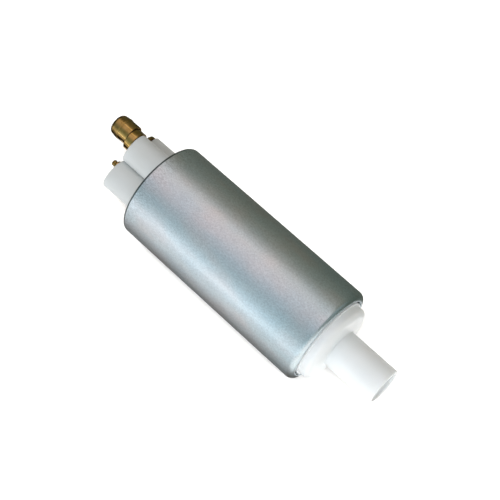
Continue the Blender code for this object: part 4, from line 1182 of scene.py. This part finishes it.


# The coil springs; the wire is its radius, and each names the joint it belongs to

springs = {
    "valve_spring": {"turns": 4.0, "wire": 0.25 * mm, "joint": "check_valve_slide"},
    "relief_spring": {"turns": 2.5, "wire": 0.12 * mm, "joint": "relief_valve_slide"},
    "brush_spring_negative": {"turns": 5.0, "wire": 0.25 * mm, "joint": "negative_brush_slide"},
    "brush_spring_positive": {"turns": 5.0, "wire": 0.25 * mm, "joint": "positive_brush_slide"},
}

springSizes = {
    "solidWire": 0.5 * mm,
    "wireSides": 10,
    "stepsPerTurn": 32,
    "closedTurns": 0.6,
}


def springPath(length, turns, wire):
    # angle and distance along the coil: both end turns lie closed, as a real spring's do
    closed = springSizes["closedTurns"]
    closedLength = closed * 2.0 * wire
    pitch = (length - 2.0 * closedLength) / (turns - 2.0 * closed)
    count = int(turns * springSizes["stepsPerTurn"])
    path = []
    for index in range(count + 1):
        turn = turns * index / count
        if turn < closed:
            along = closedLength * turn / closed
        elif turn > turns - closed:
            along = length - closedLength * (turns - turn) / closed
        else:
            along = closedLength + pitch * (turn - closed)
        path.append((2.0 * math.pi * turn, along))
    return path


def coilMesh(name, path, start, radius, wire):
    # a ring of the wire's section at each step of the path, joined to the next, with both ends closed
    sides = springSizes["wireSides"]
    shape = bmesh.new()
    rings = []
    for index, (angle, along) in enumerate(path):
        before = path[max(index - 1, 0)]
        after = path[min(index + 1, len(path) - 1)]
        outward = Vector((0.0, math.cos(angle), math.sin(angle)))
        sweep = (after[0] - before[0]) * radius
        forward = Vector((after[1] - before[1], -math.sin(angle) * sweep, math.cos(angle) * sweep))
        across = forward.normalized().cross(outward)
        place = Vector((start.x + wire + along, start.y, start.z)) + radius * outward
        ring = []
        for side in range(sides):
            turned = 2.0 * math.pi * side / sides
            edge = math.cos(turned) * outward + math.sin(turned) * across
            ring.append(shape.verts.new(place + wire * edge))
        rings.append(ring)
    for first, second in zip(rings, rings[1:]):
        for side in range(sides):
            other = (side + 1) % sides
            shape.faces.new((first[side], first[other], second[other], second[side]))
    shape.faces.new(rings[0])
    shape.faces.new(rings[-1])
    mesh = bpy.data.meshes.new(name)
    shape.to_mesh(mesh)
    shape.free()
    cleanMesh(mesh)
    return mesh


def makeSpring(node):
    # a closed coil of round wire, held to the pump body
    wire, jointName = springs[node]["wire"], springs[node]["joint"]
    low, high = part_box(node)
    centre = (low + high) / 2
    # the coil keeps the inner width of the solid's, which has a wire of its own
    radius = (high.y - low.y) / 2 - springSizes["solidWire"] + wire
    path = springPath(high.x - low.x - 2.0 * wire, springs[node]["turns"], wire)
    mesh = coilMesh(node, path, Vector((low.x, centre.y, centre.z)), radius, wire)
    mesh.materials.append(finishes["spring_steel"])
    first, *others = node.split("_")
    spring = addObject(first + "".join(word.capitalize() for word in others), mesh)
    hold(spring, [node])
    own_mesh(spring)


def dressInnerPieces():
    # the CAD nodes that stay get the finish of the slot that the record gives them
    slots = {part["node"]: part["material_slot"] for part in frame["record"]["subparts"]}
    for name, node in frame["nodes"].items():
        if node.hide_render:
            continue
        node.data.materials.clear()
        node.data.materials.append(finishes[slots[name]])


makeCamera()
floorHeight = cadLow.z
floor = makeFloor(floorHeight)
makeWorld()
makeArch(floorHeight)
makeFlags(floorHeight)
print("studio ready")

makeCan()
makeOutletCover()
makeInletCover()
makeOutletBush()
makeOutletNozzle()
for terminalNode in terminalSizes:
    makeTerminal(terminalNode)
for springNode in springs:
    makeSpring(springNode)
dressInnerPieces()
print("pieces ready")

makeLamp("floorLamp", [floor])
makeLamp("keyLamp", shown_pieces())

scene.view_settings.view_transform = "Standard"
